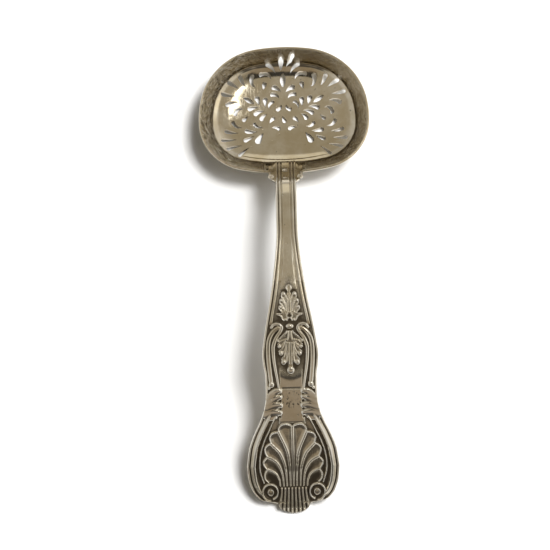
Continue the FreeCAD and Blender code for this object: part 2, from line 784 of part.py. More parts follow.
def high_ornament():
    """Palmettes, pellets, scroll hooks, leaf clusters, shell, volutes and the fluted end."""
    fine, pellet = size("line_width"), size("pellet_radius")
    faces = lobes(PALMETTES, UPPER_LOBE_SHARES, size("lobe_radius"))
    faces += lobes(PALMETTES, LOWER_LOBE_SHARES, size("lobe_radius"))
    faces += lobes(SHELL, CLUSTER_SHARES, size("leaf_radius"))
    faces += lobes(SHELL, SHELL_LOBE_SHARES, size("shell_lobe"))
    for ends in (UPPER_STALK_SHARES, LOWER_STALK_SHARES):
        faces.append(stroke([on_handle(PALMETTES, at, 0) for at in ends], fine))
    faces += [disc(on_handle(PALMETTES, *place), pellet) for place in PELLET_SHARES]
    hook, volute = on_handle(PALMETTES, *HOOK_SHARE), on_handle(SHELL, *VOLUTE_SHARE)
    hook_radius, volute_radius = size("hook_radius"), size("volute_radius")
    faces += mirrored([
        disc(on_handle(PALMETTES, *SIDE_PELLET_SHARE), pellet),
        ring(hook, hook_radius, size("thread_width")),
        disc(hook, hook_radius * HOOK_PELLET_SHARE),
        ring(volute, volute_radius, size("thread_width")),
        disc(volute, volute_radius / 2),
    ])
    (start, end), (start_step, end_step) = FLUTE_SPAN_SHARES, FLUTE_STEP_SHARES
    for step in range(-FLUTES_A_SIDE, FLUTES_A_SIDE + 1):
        ends = [
            on_handle(SHELL, start, start_step * step),
            on_handle(SHELL, end - FLUTE_DROP_SHARE * step ** 2, end_step * step),
        ]
        faces.append(stroke(ends, size("flute_width")))
    return faces


def struck(name, faces, relief_alias):
    """Ornament blocks cut to a layer of the named rise along the handle's top."""
    height = size("crown_height") + size("overrun")
    outline = faces[0].fuse(faces[1:]).removeSplitter()
    blocks = [face.extrude(Vector(0, 0, height)) for face in outline.Faces]
    width = size("shell_width") + size("overrun")
    layer = layer_face(size(relief_alias)).extrude(Vector(width, 0, 0))
    layer.translate(Vector(-width / 2, 0, 0))
    ornament = doc.addObject("Part::Feature", name)
    ornament.Shape = layer.common(blocks)
    ornament.Visibility = False
    return ornament


handle_struck = joined("MultiFuse", "handle_struck", [
    handle_blank,
    struck("low_ornament", low_ornament(), "low_relief"),
    struck("high_ornament", high_ornament(), "high_relief"),
])
handle = cut("handle", handle_struck, bowl_shell)
doc.recompute()

# Drop: the heel on the bowl's back under the handle, as thick as its metal and shaped to the
# wall. Seen from behind it has straight sides and a round foot.

DROP_START_SHARE = 0.5
DROP_TOP_SHARE = 0.72


def solid_loft(name, sections):
    form = doc.addObject("PartDesign::Body", name)
    oval_loft(form, name + "_loft", "AdditiveLoft", sections)
    return form


def drop_outline():
    half, start = size("drop_width") / 2, -size("bowl_back") * DROP_START_SHARE
    foot, top = size("drop_foot"), size("rim_height") * DROP_TOP_SHARE
    turn = foot + half

    def place(across, height):
        return Vector(across, start, height)

    edges = [
        line(place(half, top), place(-half, top)),
        line(place(-half, top), place(-half, turn)),
        Part.Arc(place(-half, turn), place(0, foot), place(half, turn)).toShape(),
        line(place(half, turn), place(half, top)),
    ]
    return Part.Face(Part.Wire(edges))


bowl_form = solid_loft("bowl_form", OUTSIDE)
drop_form = solid_loft("drop_form", grown(OUTSIDE, "drop_metal", -1.0))
drop_block = doc.addObject("Part::Extrusion", "drop_block")
drop_block.Base = flat_outline("drop", [drop_outline()])
drop_block.DirMode = "Custom"
drop_block.Dir = Vector(0, -1, 0)
drop_block.Solid = True
drop_block.setExpression("LengthFwd", "Sizes.bowl_back + Sizes.overrun")
drop_blank = joined("MultiCommon", "drop_blank", [drop_form, drop_block])
joint_drop = cut("joint_drop", cut("drop_skin", drop_blank, bowl_form), handle)
doc.recompute()

# Solder seam: a thin bead on the bowl's inner wall, all round the tongue.

WALL_SECTIONS = 3

seam_bed = cut(
    "seam_bed",
    solid_loft("seam_outer", INSIDE),
    solid_loft("seam_inner", [
        (inset + [("seam_rise", WALL_SLANT_SHARE)], share, height)
        if index < WALL_SECTIONS else (inset, share, height + [("seam_rise", 1.0)])
        for index, (inset, share, height) in enumerate(INSIDE)
    ]),
)


def seam_face():
    """The tongue's own outline with the seam's width added all round."""
    grow = size("seam_width")
    places = [(reach, half + grow) for reach, half in TAB_HALF_WIDTHS]
    places[0] = (tongue_foot - grow, size("tab_width") / 2 + grow)
    right = table_points(places)
    edges = [
        line(flipped(right)[0], right[0]),
        curve(right),
        line(right[-1], flipped(right)[-1]),
        curve(flipped(right)[::-1]),
    ]
    return Part.Face(Part.Wire(edges))


seam_blank = joined("MultiCommon", "seam_blank", [
    seam_bed, upright("seam_block", [seam_face()], "rim_height"),
])
solder_seam = cut("solder_seam", seam_blank, handle)
doc.recompute()

# Shoulder scrolls: a curl of wire each side of the handle's root, tilted with its slope.

SCROLL_PLACE_SHARES = (0.85, 1.21)
SCROLL_SINK_SHARE = 1.28
SCROLL_PELLET_SHARE = 0.62
ROOT_TILT = 37.0


def shoulder_scroll(name, hand):
    along, across = SCROLL_PLACE_SHARES
    reach = tongue_foot + (size("stem_start") - tongue_foot) * along
    top = smooth_value(TOP, reach)
    centre = Vector(
        smooth_value(TAB_HALF_WIDTHS, reach) * across * hand,
        -reach,
        top - size("scroll_radius") * SCROLL_SINK_SHARE,
    )
    tilted = Placement(centre, Rotation(Vector(1, 0, 0), -ROOT_TILT))
    curl = doc.addObject("Part::Torus", name + "_curl")
    curl.setExpression("Radius1", "Sizes.scroll_radius")
    curl.setExpression("Radius2", "Sizes.scroll_wire")
    curl.Placement = tilted
    pellet = doc.addObject("Part::Sphere", name + "_pellet")
    pellet.setExpression("Radius", f"Sizes.scroll_radius * {SCROLL_PELLET_SHARE}")
    pellet.Placement = tilted
    whole = joined("MultiFuse", name + "_whole", [curl, pellet])
    return cut(name, whole, handle)


scrolls = [
    shoulder_scroll("shoulder_scroll_left", -1),
    shoulder_scroll("shoulder_scroll_right", 1),
]
doc.recompute()

# Every piece under its own name

for item in doc.Objects:
    if "Invalid" in item.State or "Error" in item.State:
        raise RuntimeError(f"{item.Name} failed: {item.State}")

os.makedirs("parts", exist_ok=True)
for piece in (pierced_bowl, handle, joint_drop, solder_seam, *scrolls):
    piece.Label = piece.Name
    if piece.Shape.isNull() or not piece.Shape.isValid() or piece.Shape.Volume <= 0:
        raise RuntimeError(f"{piece.Name} has no valid shape")
    piece.Shape.exportStep(f"parts/{piece.Label}.step")
    print(piece.Label, round(piece.Shape.Volume, 1), len(piece.Shape.Solids))
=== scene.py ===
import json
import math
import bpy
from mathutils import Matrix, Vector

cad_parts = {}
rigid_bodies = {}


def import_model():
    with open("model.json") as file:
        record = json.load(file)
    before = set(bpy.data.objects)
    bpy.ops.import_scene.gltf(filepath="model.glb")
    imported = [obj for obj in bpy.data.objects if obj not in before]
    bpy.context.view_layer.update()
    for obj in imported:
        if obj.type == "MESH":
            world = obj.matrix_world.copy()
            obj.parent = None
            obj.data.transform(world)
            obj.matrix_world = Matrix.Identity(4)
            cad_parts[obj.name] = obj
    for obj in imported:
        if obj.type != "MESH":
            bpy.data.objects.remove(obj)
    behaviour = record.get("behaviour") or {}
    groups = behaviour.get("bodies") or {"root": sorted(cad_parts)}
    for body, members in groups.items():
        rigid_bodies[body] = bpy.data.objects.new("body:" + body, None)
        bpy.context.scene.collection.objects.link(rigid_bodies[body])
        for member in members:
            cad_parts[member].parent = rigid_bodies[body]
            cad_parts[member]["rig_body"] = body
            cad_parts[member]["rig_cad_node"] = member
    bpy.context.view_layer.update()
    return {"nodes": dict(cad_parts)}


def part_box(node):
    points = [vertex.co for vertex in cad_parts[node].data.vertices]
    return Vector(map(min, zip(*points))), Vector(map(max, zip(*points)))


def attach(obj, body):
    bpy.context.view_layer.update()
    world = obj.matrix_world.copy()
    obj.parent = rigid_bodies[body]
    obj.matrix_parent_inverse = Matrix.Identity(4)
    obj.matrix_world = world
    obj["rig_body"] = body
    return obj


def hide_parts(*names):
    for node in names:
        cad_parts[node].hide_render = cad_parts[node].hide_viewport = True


bl_info = {
    "name": "Sugar sifter spoon",
    "version": (1, 0, 0),
    "blender": (4, 5, 0),
    "location": "View3D > Sidebar > Sifter",
    "description": "Dresses the sugar sifter spoon in old silver",
    "category": "Object",
}

import bmesh
import bpy
import numpy as np
from bpy.props import FloatProperty, FloatVectorProperty, IntProperty, PointerProperty
from mathutils import Matrix, Vector

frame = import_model()
MM = 0.001
BOWL_LOW, BOWL_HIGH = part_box("pierced_bowl")
HANDLE_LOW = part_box("handle")[0]


# Sizes and colours that a user would change


def length(name, description, default):
    return FloatProperty(
        name=name, description=description, default=default, min=0.0, subtype="DISTANCE", unit="LENGTH"
    )


def colour(name, description, default):
    return FloatVectorProperty(
        name=name, description=description, default=default, min=0.0, max=1.0, size=3, subtype="COLOR"
    )


class BowlSettings(bpy.types.PropertyGroup):
    width: length("Width", "Across the rim", BOWL_HIGH.x - BOWL_LOW.x)
    front: length("Front", "From the widest line to the front of the rim", BOWL_HIGH.y)
    back: length("Back", "From the widest line to the back of the rim", -BOWL_LOW.y)
    depth: length("Depth", "From the foot to the rim", BOWL_HIGH.z)
    metal: length("Metal", "Thickness of the bowl's sheet", 1.0 * MM)
    side_radius: length("Side radius", "Rim's plan at the sides", 32.3 * MM)
    front_radius: length("Front radius", "Rim's plan at the front", 60.3 * MM)
    front_corner: length("Front corner", "Rim's plan between front and side", 22.3 * MM)
    back_radius: length("Back radius", "Rim's plan at the back", 70.3 * MM)
    back_corner: length("Back corner", "Rim's plan between back and side", 17.0 * MM)
    around: IntProperty(name="Around", description="Points round the rim", default=288, min=48)
    head_scale: FloatProperty(
        name="Hole heads", description="How wide the holes' heads are", default=1.0, min=0.5, max=1.5
    )


class HandleSettings(bpy.types.PropertyGroup):
    thread: length("Thread", "Width of the bead along the edge", 0.74 * MM)
    relief: length("Relief", "Rise of the palmettes and the shell", 0.68 * MM)
    thread_relief: length("Thread relief", "Rise of the threads and scroll bands", 0.34 * MM)
    ground: length("Ground", "Depth of the ground behind the ornament", 0.16 * MM)


class FinishSettings(bpy.types.PropertyGroup):
    bright: colour("Bright silver", "Where hands have kept it bright", (0.88, 0.86, 0.80))
    warm: colour("Warm silver", "The bowl's warm film", (0.55, 0.475, 0.34))
    tarnish: colour("Tarnish", "The dark film in the recesses", (0.115, 0.096, 0.070))
    solder: colour("Solder", "The dull seam round the joint", (0.36, 0.33, 0.27))


class StageSettings(bpy.types.PropertyGroup):
    raised: FloatProperty(
        name="Raised", description="The camera's height above the table", default=math.radians(78.0),
        subtype="ANGLE", unit="ROTATION",
    )
    turned: FloatProperty(
        name="Turned", description="The spoon's lean in the picture", default=math.radians(-1.54),
        subtype="ANGLE", unit="ROTATION",
    )
    away: length("Away", "From the camera to the spoon's middle", 0.450)
    floor: colour("Floor", "The table's colour", (0.90, 0.90, 0.90))
    ceiling: colour("Ceiling", "The light that comes from overhead", (0.50, 0.46, 0.385))
    walls: colour("Walls", "The light that comes from the sides", (0.86, 0.84, 0.80))


# Curves and tables, in millimetres


def smooth_read(table, places):
    """Reads a table of places and values along a curve that never overshoots."""
    where, value = np.array(table, float).T
    slopes = np.diff(value) / np.diff(where)
    before, after = slopes[:-1], slopes[1:]
    same = before * after > 0
    mean = np.where(same, 2 * before * after / np.where(same, before + after, 1), 0)
    lean = np.concatenate([slopes[:1], mean, slopes[-1:]])
    places = np.clip(places, where[0], where[-1])
    index = np.clip(np.searchsorted(where, places) - 1, 0, len(where) - 2)
    run = np.diff(where)[index]
    t = (places - where[index]) / run
    return (
        value[index] * (1 + 2 * t) * (1 - t) ** 2
        + lean[index] * run * t * (1 - t) ** 2
        + value[index + 1] * t * t * (3 - 2 * t)
        + lean[index + 1] * run * t * t * (t - 1)
    )


def distances(points):
    """How far along a line each of its points lies."""
    return np.concatenate([[0], np.cumsum(np.hypot(*np.diff(points, axis=0).T))])


def resample(points, count, steps=8):
    """Points evenly along a smooth curve through the given ones."""
    points = np.array(points, float)
    ends = np.vstack([2 * points[0] - points[1], points, 2 * points[-1] - points[-2]])
    t = np.arange(steps)[:, None] / steps
    pieces = [
        p1 + (p2 - p0) / 2 * t + (p0 - 2.5 * p1 + 2 * p2 - p3 / 2) * t ** 2
        + (3 * p1 - p0 - 3 * p2 + p3) / 2 * t ** 3
        for p0, p1, p2, p3 in zip(ends, ends[1:], ends[2:], ends[3:])
    ]
    fine = np.vstack(pieces + [points[-1:]])
    place = distances(fine)
    at = np.linspace(0, place[-1], count)
    return np.stack([np.interp(at, place, values) for values in fine.T], axis=1)


def normals(line):
    """The way each point of a plane line faces, a quarter turn to the left of the line."""
    lean = np.gradient(line, axis=0)
    lean /= np.hypot(*lean.T)[:, None]
    return np.stack([-lean[:, 1], lean[:, 0]], axis=1)


def smoothstep(low, high, value):
    t = np.clip((value - low) / (high - low), 0, 1)
    return t * t * (3 - 2 * t)


# Meshes


def mesh_object(name, points, faces, smooth=True):
    """An object from points in millimetres."""
    mesh = bpy.data.meshes.new(name)
    mesh.from_pydata((np.asarray(points, float) * MM).tolist(), [], faces)
    mesh.validate()
    if smooth:
        mesh.polygons.foreach_set("use_smooth", [True] * len(mesh.polygons))
    mesh.update()
    item = bpy.data.objects.new(name, mesh)
    bpy.context.scene.collection.objects.link(item)
    return item


def outward(item, merge=True):
    """Turns every face outwards, with doubled points merged first."""
    work = bmesh.new()
    work.from_mesh(item.data)
    if merge:
        bmesh.ops.remove_doubles(work, verts=work.verts, dist=0.001 * MM)
    bmesh.ops.recalc_face_normals(work, faces=work.faces)
    work.to_mesh(item.data)
    work.free()
    return item


def ring_faces(rows, columns):
    """Quads between closed rings of points, ring after ring."""
    here = [(r * columns, c, (c + 1) % columns) for r in range(rows - 1) for c in range(columns)]
    return [(r + c, r + d, r + columns + d, r + columns + c) for r, c, d in here]


def tube_object(name, rings, merge=True):
    """A closed body from rings of points, with one face over each end."""
    count, around = rings.shape[:2]
    ends = [tuple(range(start, start + around)) for start in (0, (count - 1) * around)]
    return outward(mesh_object(name, rings.reshape(-1, 3), ring_faces(count, around) + ends), merge)


def dress(item, material, slot_name, *nodes):
    """Gives a finished piece its material and body, and hides the nodes it stands for; the slot name is not
    used.
    """
    item.data.materials.clear()
    item.data.materials.append(material)
    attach(item, "root")
    if nodes:
        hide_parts(*nodes)
    return item


# Materials


class Nodes:
    """A small helper that adds and links the nodes of a tree."""

    def __init__(self, tree):
        self.tree = tree

    def add(self, kind, inputs=None, **settings):
        node = self.tree.nodes.new(kind)
        for key, value in settings.items():
            setattr(node, key, value)
        for key, value in (inputs or {}).items():
            for source in value if isinstance(value, list) else [value]:
                self.put(node.inputs[key], source)
        return node

    def put(self, socket, value):
        if isinstance(value, bpy.types.NodeSocket):
            self.tree.links.new(value, socket)
        else:
            socket.default_value = (*value, 1.0) if socket.type == "RGBA" else value


class Shader(Nodes):
    """The nodes of a material or a world."""

    def math(self, operation, first, second, clamp=False):
        node = self.add("ShaderNodeMath", {0: first, 1: second}, operation=operation, use_clamp=clamp)
        return node.outputs[0]

    def times(self, first, second):
        return self.math("MULTIPLY", first, second)

    def mix(self, factor, first, second):
        inputs = {"Factor": factor, "A": first, "B": second}
        return self.add("ShaderNodeMix", inputs, data_type="RGBA").outputs["Result"]

    def place(self, scale=(1, 1, 1), turn=(0, 0, 0)):
        """Object coordinates in millimetres, stretched and turned."""
        inputs = {
            "Vector": self.add("ShaderNodeTexCoord").outputs["Object"],
            "Scale": tuple(s / MM for s in scale),
            "Rotation": turn,
        }
        return self.add("ShaderNodeMapping", inputs).outputs["Vector"]

    def noise(self, scale, detail, roughness=0.5, vector=None):
        inputs = {"Vector": vector or self.place(), "Scale": scale, "Detail": detail, "Roughness": roughness}
        return self.add("ShaderNodeTexNoise", inputs).outputs["Fac"]

    def spread(self, value, low, high, out_low=0.0, out_high=1.0):
        inputs = dict(enumerate((value, low, high, out_low, out_high)))
        return self.add("ShaderNodeMapRange", inputs, interpolation_type="SMOOTHSTEP").outputs[0]

    def dot(self, first, second):
        node = self.add("ShaderNodeVectorMath", {0: first, 1: second}, operation="DOT_PRODUCT")
        return node.outputs["Value"]

    def bump(self, height, distance, strength, normal=None):
        inputs = {"Height": height, "Distance": distance * MM, "Strength": strength}
        if normal is not None:
            inputs["Normal"] = normal
        return self.add("ShaderNodeBump", inputs).outputs["Normal"]


def new_material(name):
    material = bpy.data.materials.new(name)
    material.use_nodes = True
    return material, Shader(material.node_tree), material.node_tree.nodes["Principled BSDF"].inputs


def scratches(shade):
    """Fine lines left by years of polishing, in three directions."""
    lines = 0.0
    for turn, across in ((0.35, 6.0), (-0.9, 5.0), (1.7, 7.0)):
        stretched = shade.place(scale=(across, 0.12, 0.5), turn=(0, 0, turn))
        line = shade.spread(shade.noise(1.0, 2.0, vector=stretched), 0.60, 0.74)
        lines = shade.math("MAXIMUM", lines, line)
    return lines


def dents_and_painted_glints(shade, tone, normal, finish):
    """Dents, dark patches and painted glints (bright specks) on the wall's inside, most of all at the left,
    where the wall faces the window light.
    """
    place = shade.place()
    along = shade.add("ShaderNodeSeparateXYZ", {0: place}).outputs
    on_wall = shade.spread(along["Z"], 3.9, 6.5)
    on_left = shade.spread(along["X"], -21.0, -8.0, 1.0, 0.30)
    facing = shade.dot(place, shade.add("ShaderNodeTexCoord").outputs["Normal"])
    inside = shade.spread(facing, -3.0, 3.0, 1.0, 0.12)
    share = shade.times(shade.times(on_wall, on_left), inside)
    dents = shade.noise(0.62, 5.0, 0.70)
    normal = shade.bump(shade.times(shade.math("SUBTRACT", dents, 0.5), share), 2.2, 1.0, normal)
    patches = shade.times(shade.spread(dents, 0.53, 0.60), share)
    # Painted glints: bright specks mixed towards bright silver, where the wall would catch the window's
    # light.
    painted_glints = shade.times(shade.spread(dents, 0.50, 0.40), share)
    tone = shade.mix(shade.times(patches, 0.62), tone, finish.tarnish)
    return shade.mix(shade.times(painted_glints, 0.8), tone, finish.bright), normal


def silver(name, finish, clean, film_amount, polish, worn_and_shaded=False, dents_and_glints=False):
    """Old silver: bright where it is handled, under a warm film, dark in the recesses, with painted shade at
    the handle's end and painted glints on the bowl's wall where asked.
    """
    material, shade, surface = new_material(name)
    cloud = shade.noise(0.16, 4.0, 0.6)
    spots = shade.noise(1.1, 5.0, 0.65)
    tone = shade.mix(shade.spread(cloud, 0.32, 0.68, film_amount * 0.7, film_amount), clean, finish.warm)
    pits = shade.spread(shade.noise(0.75, 2.0), 0.70, 0.76)
    if worn_and_shaded:
        # The wear attribute carries tarnish in the recesses, bright ridges, and painted shade towards the
        # handle's end.
        wear = shade.add("ShaderNodeAttribute", attribute_name="wear").outputs["Fac"]
        uneven = shade.math("ADD", wear, shade.times(shade.math("SUBTRACT", spots, 0.5), 0.20))
        ridges = shade.spread(wear, 0.58, 0.80, 0.0, 0.62)
        tone = shade.mix(shade.spread(uneven, 0.08, 0.48), finish.tarnish, shade.mix(ridges, tone, clean))
        dull = shade.spread(uneven, 0.10, 0.50, 0.26, 0.0)
    else:
        dull = shade.spread(spots, 0.45, 0.80, 0.0, 0.05)
    tone = shade.mix(shade.times(pits, 0.55), tone, finish.tarnish)
    lines = scratches(shade)
    rough = shade.math("ADD", shade.times(lines, 0.05), polish)
    rough = shade.math("ADD", rough, shade.times(spots, 0.04))
    normal = shade.bump(shade.noise(0.22, 1.0), 0.10, 0.55)
    normal = shade.bump(spots, 0.02, 0.5, normal)
    normal = shade.bump(shade.times(lines, -1.0), 0.004, 0.5, normal)
    normal = shade.bump(shade.times(pits, -1.0), 0.05, 0.8, normal)
    if dents_and_glints:
        tone, normal = dents_and_painted_glints(shade, tone, normal, finish)
    for socket, value in (
        ("Base Color", tone),
        ("Metallic", 1.0),
        ("Roughness", shade.math("ADD", rough, dull, clamp=True)),
        ("Normal", normal),
    ):
        shade.put(surface[socket], value)
    return material


# Bowl

# The inside of the bowl from the rim to the middle: how far it lies towards the middle from
# the rim, and how high, as shares of the depth
WALL_SHARES = [
    (0.078, 0.972), (0.160, 0.800), (0.243, 0.615), (0.296, 0.478), (0.326, 0.386),
    (0.352, 0.352), (0.412, 0.318),
]
FLOOR_SHARES = [
    (0.970, 0.2900), (0.930, 0.2640), (0.870, 0.2310), (0.784, 0.196), (0.612, 0.153), (0.397, 0.116),
    (0.224, 0.093), (0.100, 0.083), (0.0, 0.080),
]

# Drops: places of the head and the tail, across as shares of half the width and back as shares of
# the length, then the head's radius and the bow as shares of the span. Leaves end in the half width.
PAIRED_HOLE_SHARES = [
    # The ring along the bend, from the front round to the handle
    (0.180, 0.090, 0.090, 0.145, 0.21, -0.10),
    (0.260, 0.155, 0.145, 0.190, 0.23, -0.30),
    (0.370, 0.170, 0.330, 0.245, 0.23, 0.20),
    (0.510, 0.175, 0.450, 0.240, 0.23, 0.05),
    (0.645, 0.215, 0.530, 0.255, 0.21, -0.03),
    (0.720, 0.300, 0.570, 0.310, 0.18, 0.03),
    (0.670, 0.380, 0.540, 0.360, 0.21, -0.12),
    (0.575, 0.450, 0.485, 0.415, 0.28, -0.30),
    (0.605, 0.525, 0.505, 0.560, 0.23, 0.20),
    (0.690, 0.595, 0.545, 0.605, 0.17, 0.06),
    (0.730, 0.670, 0.565, 0.660, 0.14, 0.00),
    (0.670, 0.740, 0.505, 0.710, 0.13, -0.05),
    (0.535, 0.795, 0.420, 0.725, 0.13, -0.05),
    # The sprays inside the ring
    (0.110, 0.245, 0.030, 0.280, 0.33, -0.08),
    (0.130, 0.300, 0.055, 0.330, 0.34, -0.20),
    (0.225, 0.220, 0.240, 0.260, 0.42, 0.00),
    (0.220, 0.340, 0.220, 0.395, 0.35, 0.00),
    (0.315, 0.330, 0.295, 0.380, 0.40, 0.00),
    (0.135, 0.360, 0.170, 0.410, 0.29, 0.25),
    (0.405, 0.410, 0.295, 0.400, 0.27, -0.08),
    (0.335, 0.450, 0.230, 0.430, 0.27, -0.12),
    (0.265, 0.490, 0.200, 0.455, 0.34, -0.15),
    (0.070, 0.415, 0.030, 0.380, 0.40, 0.20),
    (0.130, 0.490, 0.170, 0.525, 0.38, 0.08),
    (0.070, 0.570, 0.150, 0.565, 0.32, 0.15),
    (0.350, 0.535, 0.255, 0.555, 0.24, 0.20),
    (0.480, 0.500, 0.430, 0.470, 0.34, 0.00),
    (0.445, 0.590, 0.320, 0.595, 0.23, 0.05),
    (0.465, 0.665, 0.360, 0.630, 0.22, 0.00),
    (0.315, 0.670, 0.250, 0.605, 0.32, -0.03),
]
SINGLE_HOLE_SHARES = [
    (-0.020, 0.070, -0.025, 0.130, 0.32, 0.00),
    (0.120, 0.060, 0.040, 0.105, 0.23, -0.08),
    (0.005, 0.510, -0.020, 0.470, 0.38, 0.00),
]
PAIRED_LEAF_SHARES = [(0.485, 0.315, 0.355, 0.370, 0.18)]
SINGLE_LEAF_SHARES = [(0.000, 0.145, -0.005, 0.245, 0.20)]

# How far the bend is moved towards the front, its height, and how late on the way down that comes
BEND_FORWARD = 1.9
BEND_HEIGHT = 3.5
BEND_POWER = 1.6


def settled(points):
    """Moves places towards the front as they lie lower on the wall, as the real bowl's are."""
    points = np.array(points, float)
    rim_height = BOWL_HIGH.z / MM
    lower = np.clip((rim_height - points[..., 2]) / (rim_height - BEND_HEIGHT), 0, 1)
    points[..., 1] += BEND_FORWARD * lower ** BEND_POWER
    return points


def rim_plan(sizes, count):
    """Points evenly round the rim's plan and the way each faces, from eight tangent arcs."""
    half, front, back, side_r, front_r, back_r, front_c, back_c = (
        value / MM
        for value in (
            sizes.width / 2, sizes.front, sizes.back, sizes.side_radius, sizes.front_radius,
            sizes.back_radius, sizes.front_corner, sizes.back_corner,
        )
    )
    side, ahead, behind = np.array([(half - side_r, 0), (0, front - front_r), (0, back_r - back)])

    def between(first, second, first_span, second_span, outward_y):
        """The corner arc's centre, at given distances from two other centres."""
        across = second - first
        gap = np.hypot(*across)
        along = across / gap
        reach = (first_span ** 2 - second_span ** 2 + gap ** 2) / (2 * gap)
        rise = math.sqrt(first_span ** 2 - reach ** 2)
        normal = np.array([-along[1], along[0]])
        choices = [first + along * reach + normal * rise * sign for sign in (1, -1)]
        return max(choices, key=lambda point: point[0] + point[1] * outward_y)

    def way(start, end):
        return math.atan2(end[1] - start[1], end[0] - start[0])

    front_corner = between(side, ahead, side_r - front_c, front_r - front_c, 1)
    back_corner = between(side, behind, side_r - back_c, back_r - back_c, -1)
    starts, centres, radii = (
        np.array(part)
        for part in zip(
            (-math.pi / 2, behind, back_r),
            (way(behind, back_corner), back_corner, back_c),
            (way(side, back_corner), side, side_r),
            (way(side, front_corner), front_corner, front_c),
            (way(ahead, front_corner), ahead, front_r),
        )
    )

    def on_arcs(turn):
        which = np.clip(np.searchsorted(starts, turn, side="right") - 1, 0, len(starts) - 1)
        facing = np.stack([np.cos(turn), np.sin(turn)], axis=1)
        return centres[which] + facing * radii[which][:, None], facing

    turn = np.linspace(-math.pi / 2, math.pi / 2, 4001)
    place = distances(on_arcs(turn)[0])
    right = on_arcs(np.interp(np.linspace(0, place[-1], count // 2 + 1), place, turn))
    return [np.vstack([part, (part * (-1, 1))[-2:0:-1]]) for part in right]


def shell_object(sizes):
    """The plain bowl: inside, rounded rim and outside, closed at the two middles."""
    rim, way = rim_plan(sizes, sizes.around)
    depth, half, metal = sizes.depth / MM, sizes.width / MM / 2, sizes.metal / MM
    last_inset = WALL_SHARES[-1][0] * depth
    reach = half - last_inset
    inner = [(half - inset * depth, height * depth) for inset, height in WALL_SHARES]
    inner += [(reach * share, height * depth) for share, height in FLOOR_SHARES]
    curve = resample(inner, 110)
    outer = curve + normals(curve) * metal
    outer[-1] = (0, 0)
    outer[:, 1] = np.maximum(outer[:, 1], 0)
    edge, across = (curve[0] + outer[0]) / 2, (curve[0] - outer[0]) / 2
    up = np.array([across[1], -across[0]])
    lip = [edge + across * math.cos(t) + up * math.sin(t) for t in np.linspace(0, math.pi, 9)[1:-1]]
    profile = np.vstack([curve[::-1], lip, outer])
    rings = []
    for distance, height in profile[1:-1]:
        on_wall = rim - way * (half - distance)
        on_floor = (rim - way * last_inset) * (distance / reach)
        rings.append(np.insert(on_wall if distance > reach else on_floor, 2, height, axis=1))
    count = len(rim)
    body = np.vstack(rings)
    first, final, last_row = len(body), len(body) + 1, len(body) - count
    faces = ring_faces(len(rings), count)
    faces += [(first, (c + 1) % count, c) for c in range(count)]
    faces += [(last_row + c, last_row + (c + 1) % count, final) for c in range(count)]
    points = np.vstack([body, (0, 0, profile[0][1]), (0, 0, 0)])
    return outward(mesh_object("bowl_shell", settled(points), faces))


def arc_through(first, middle, last, count=9):
    """Points along the arc through three points, without the last."""
    a, b, c = (complex(*point) for point in (first, middle, last))
    turned = (c - a) / (b - a)
    centre = a + (b - a) * (turned - abs(turned) ** 2) / (2j * (turned.imag or 1e-9))
    part, whole = (np.angle((point - centre) / (a - centre)) % (2 * math.pi) for point in (b, c))
    if part > whole:
        whole -= 2 * math.pi
    arc = centre + (a - centre) * np.exp(1j * whole * np.arange(count) / count)
    return list(np.stack([arc.real, arc.imag], axis=1))


# The height that the holes are cut from, and the least angle of an edge that stays sharp
CUT_START = -1.0
SHARP_ANGLE = 0.6
# How far a drop's flank swells at its middle, as a share of its head's radius
FLANK_SHARE = 0.62
# How far the holes at the very front lie nearer the rim than their shares say, fading with reach
FRONT_SHIFT = 1.0
FRONT_SHARE = 0.25


def drop_outline(head, tail, radius, bow):
    """A drop: an arc round the head's centre and a bowed arc down each side to the tail."""
    along = (tail - head) / np.hypot(*(tail - head))
    side = np.array([-along[1], along[0]]) * radius
    middle = (head + tail) / 2 + side / radius * bow
    return (
        arc_through(head - side, head - along * radius, head + side)
        + arc_through(head + side, middle + side * FLANK_SHARE, tail)
        + arc_through(tail, middle - side * FLANK_SHARE, head - side)
    )


def leaf_outline(first, last, half_share):
    side = np.array([first[1] - last[1], last[0] - first[0]]) * half_share
    middle = (first + last) / 2
    return arc_through(first, middle + side, last) + arc_through(last, middle - side, first)


def pierced_outlines(sizes):
    """Every hole's outline in plan, in millimetres."""
    half = sizes.width / MM / 2
    front, whole = sizes.front / MM, (sizes.front + sizes.back) / MM

    def place(across, back):
        forward = FRONT_SHIFT * max(FRONT_SHARE - back, 0) / FRONT_SHARE
        return np.array([half * across, front - whole * back + forward])

    def both_hands(paired, single):
        return [(row, hand) for row in paired for hand in (1, -1)] + [(row, 1) for row in single]

    outlines = []
    drops = both_hands(PAIRED_HOLE_SHARES, SINGLE_HOLE_SHARES)
    for (hx, hy, tx, ty, radius_share, bow_share), hand in drops:
        head, tail = place(hx * hand, hy), place(tx * hand, ty)
        span = np.hypot(*(tail - head))
        radius = span * radius_share * sizes.head_scale
        outlines.append(drop_outline(head, tail, radius, span * bow_share * hand))
    for (hx, hy, tx, ty, half_share), hand in both_hands(PAIRED_LEAF_SHARES, SINGLE_LEAF_SHARES):
        outlines.append(leaf_outline(place(hx * hand, hy), place(tx * hand, ty), half_share))
    return outlines


def outline_object(name, outlines, height):
    """Flat faces at one height, one for each outline."""
    points, faces = [], []
    for outline in outlines:
        order = list(range(len(points), len(points) + len(outline)))
        points += [(x, y, height) for x, y in outline]
        area = sum(a[0] * b[1] - b[0] * a[1] for a, b in zip(outline, outline[1:] + outline[:1]))
        faces.append(order if area > 0 else order[::-1])
    return mesh_object(name, points, faces, smooth=False)


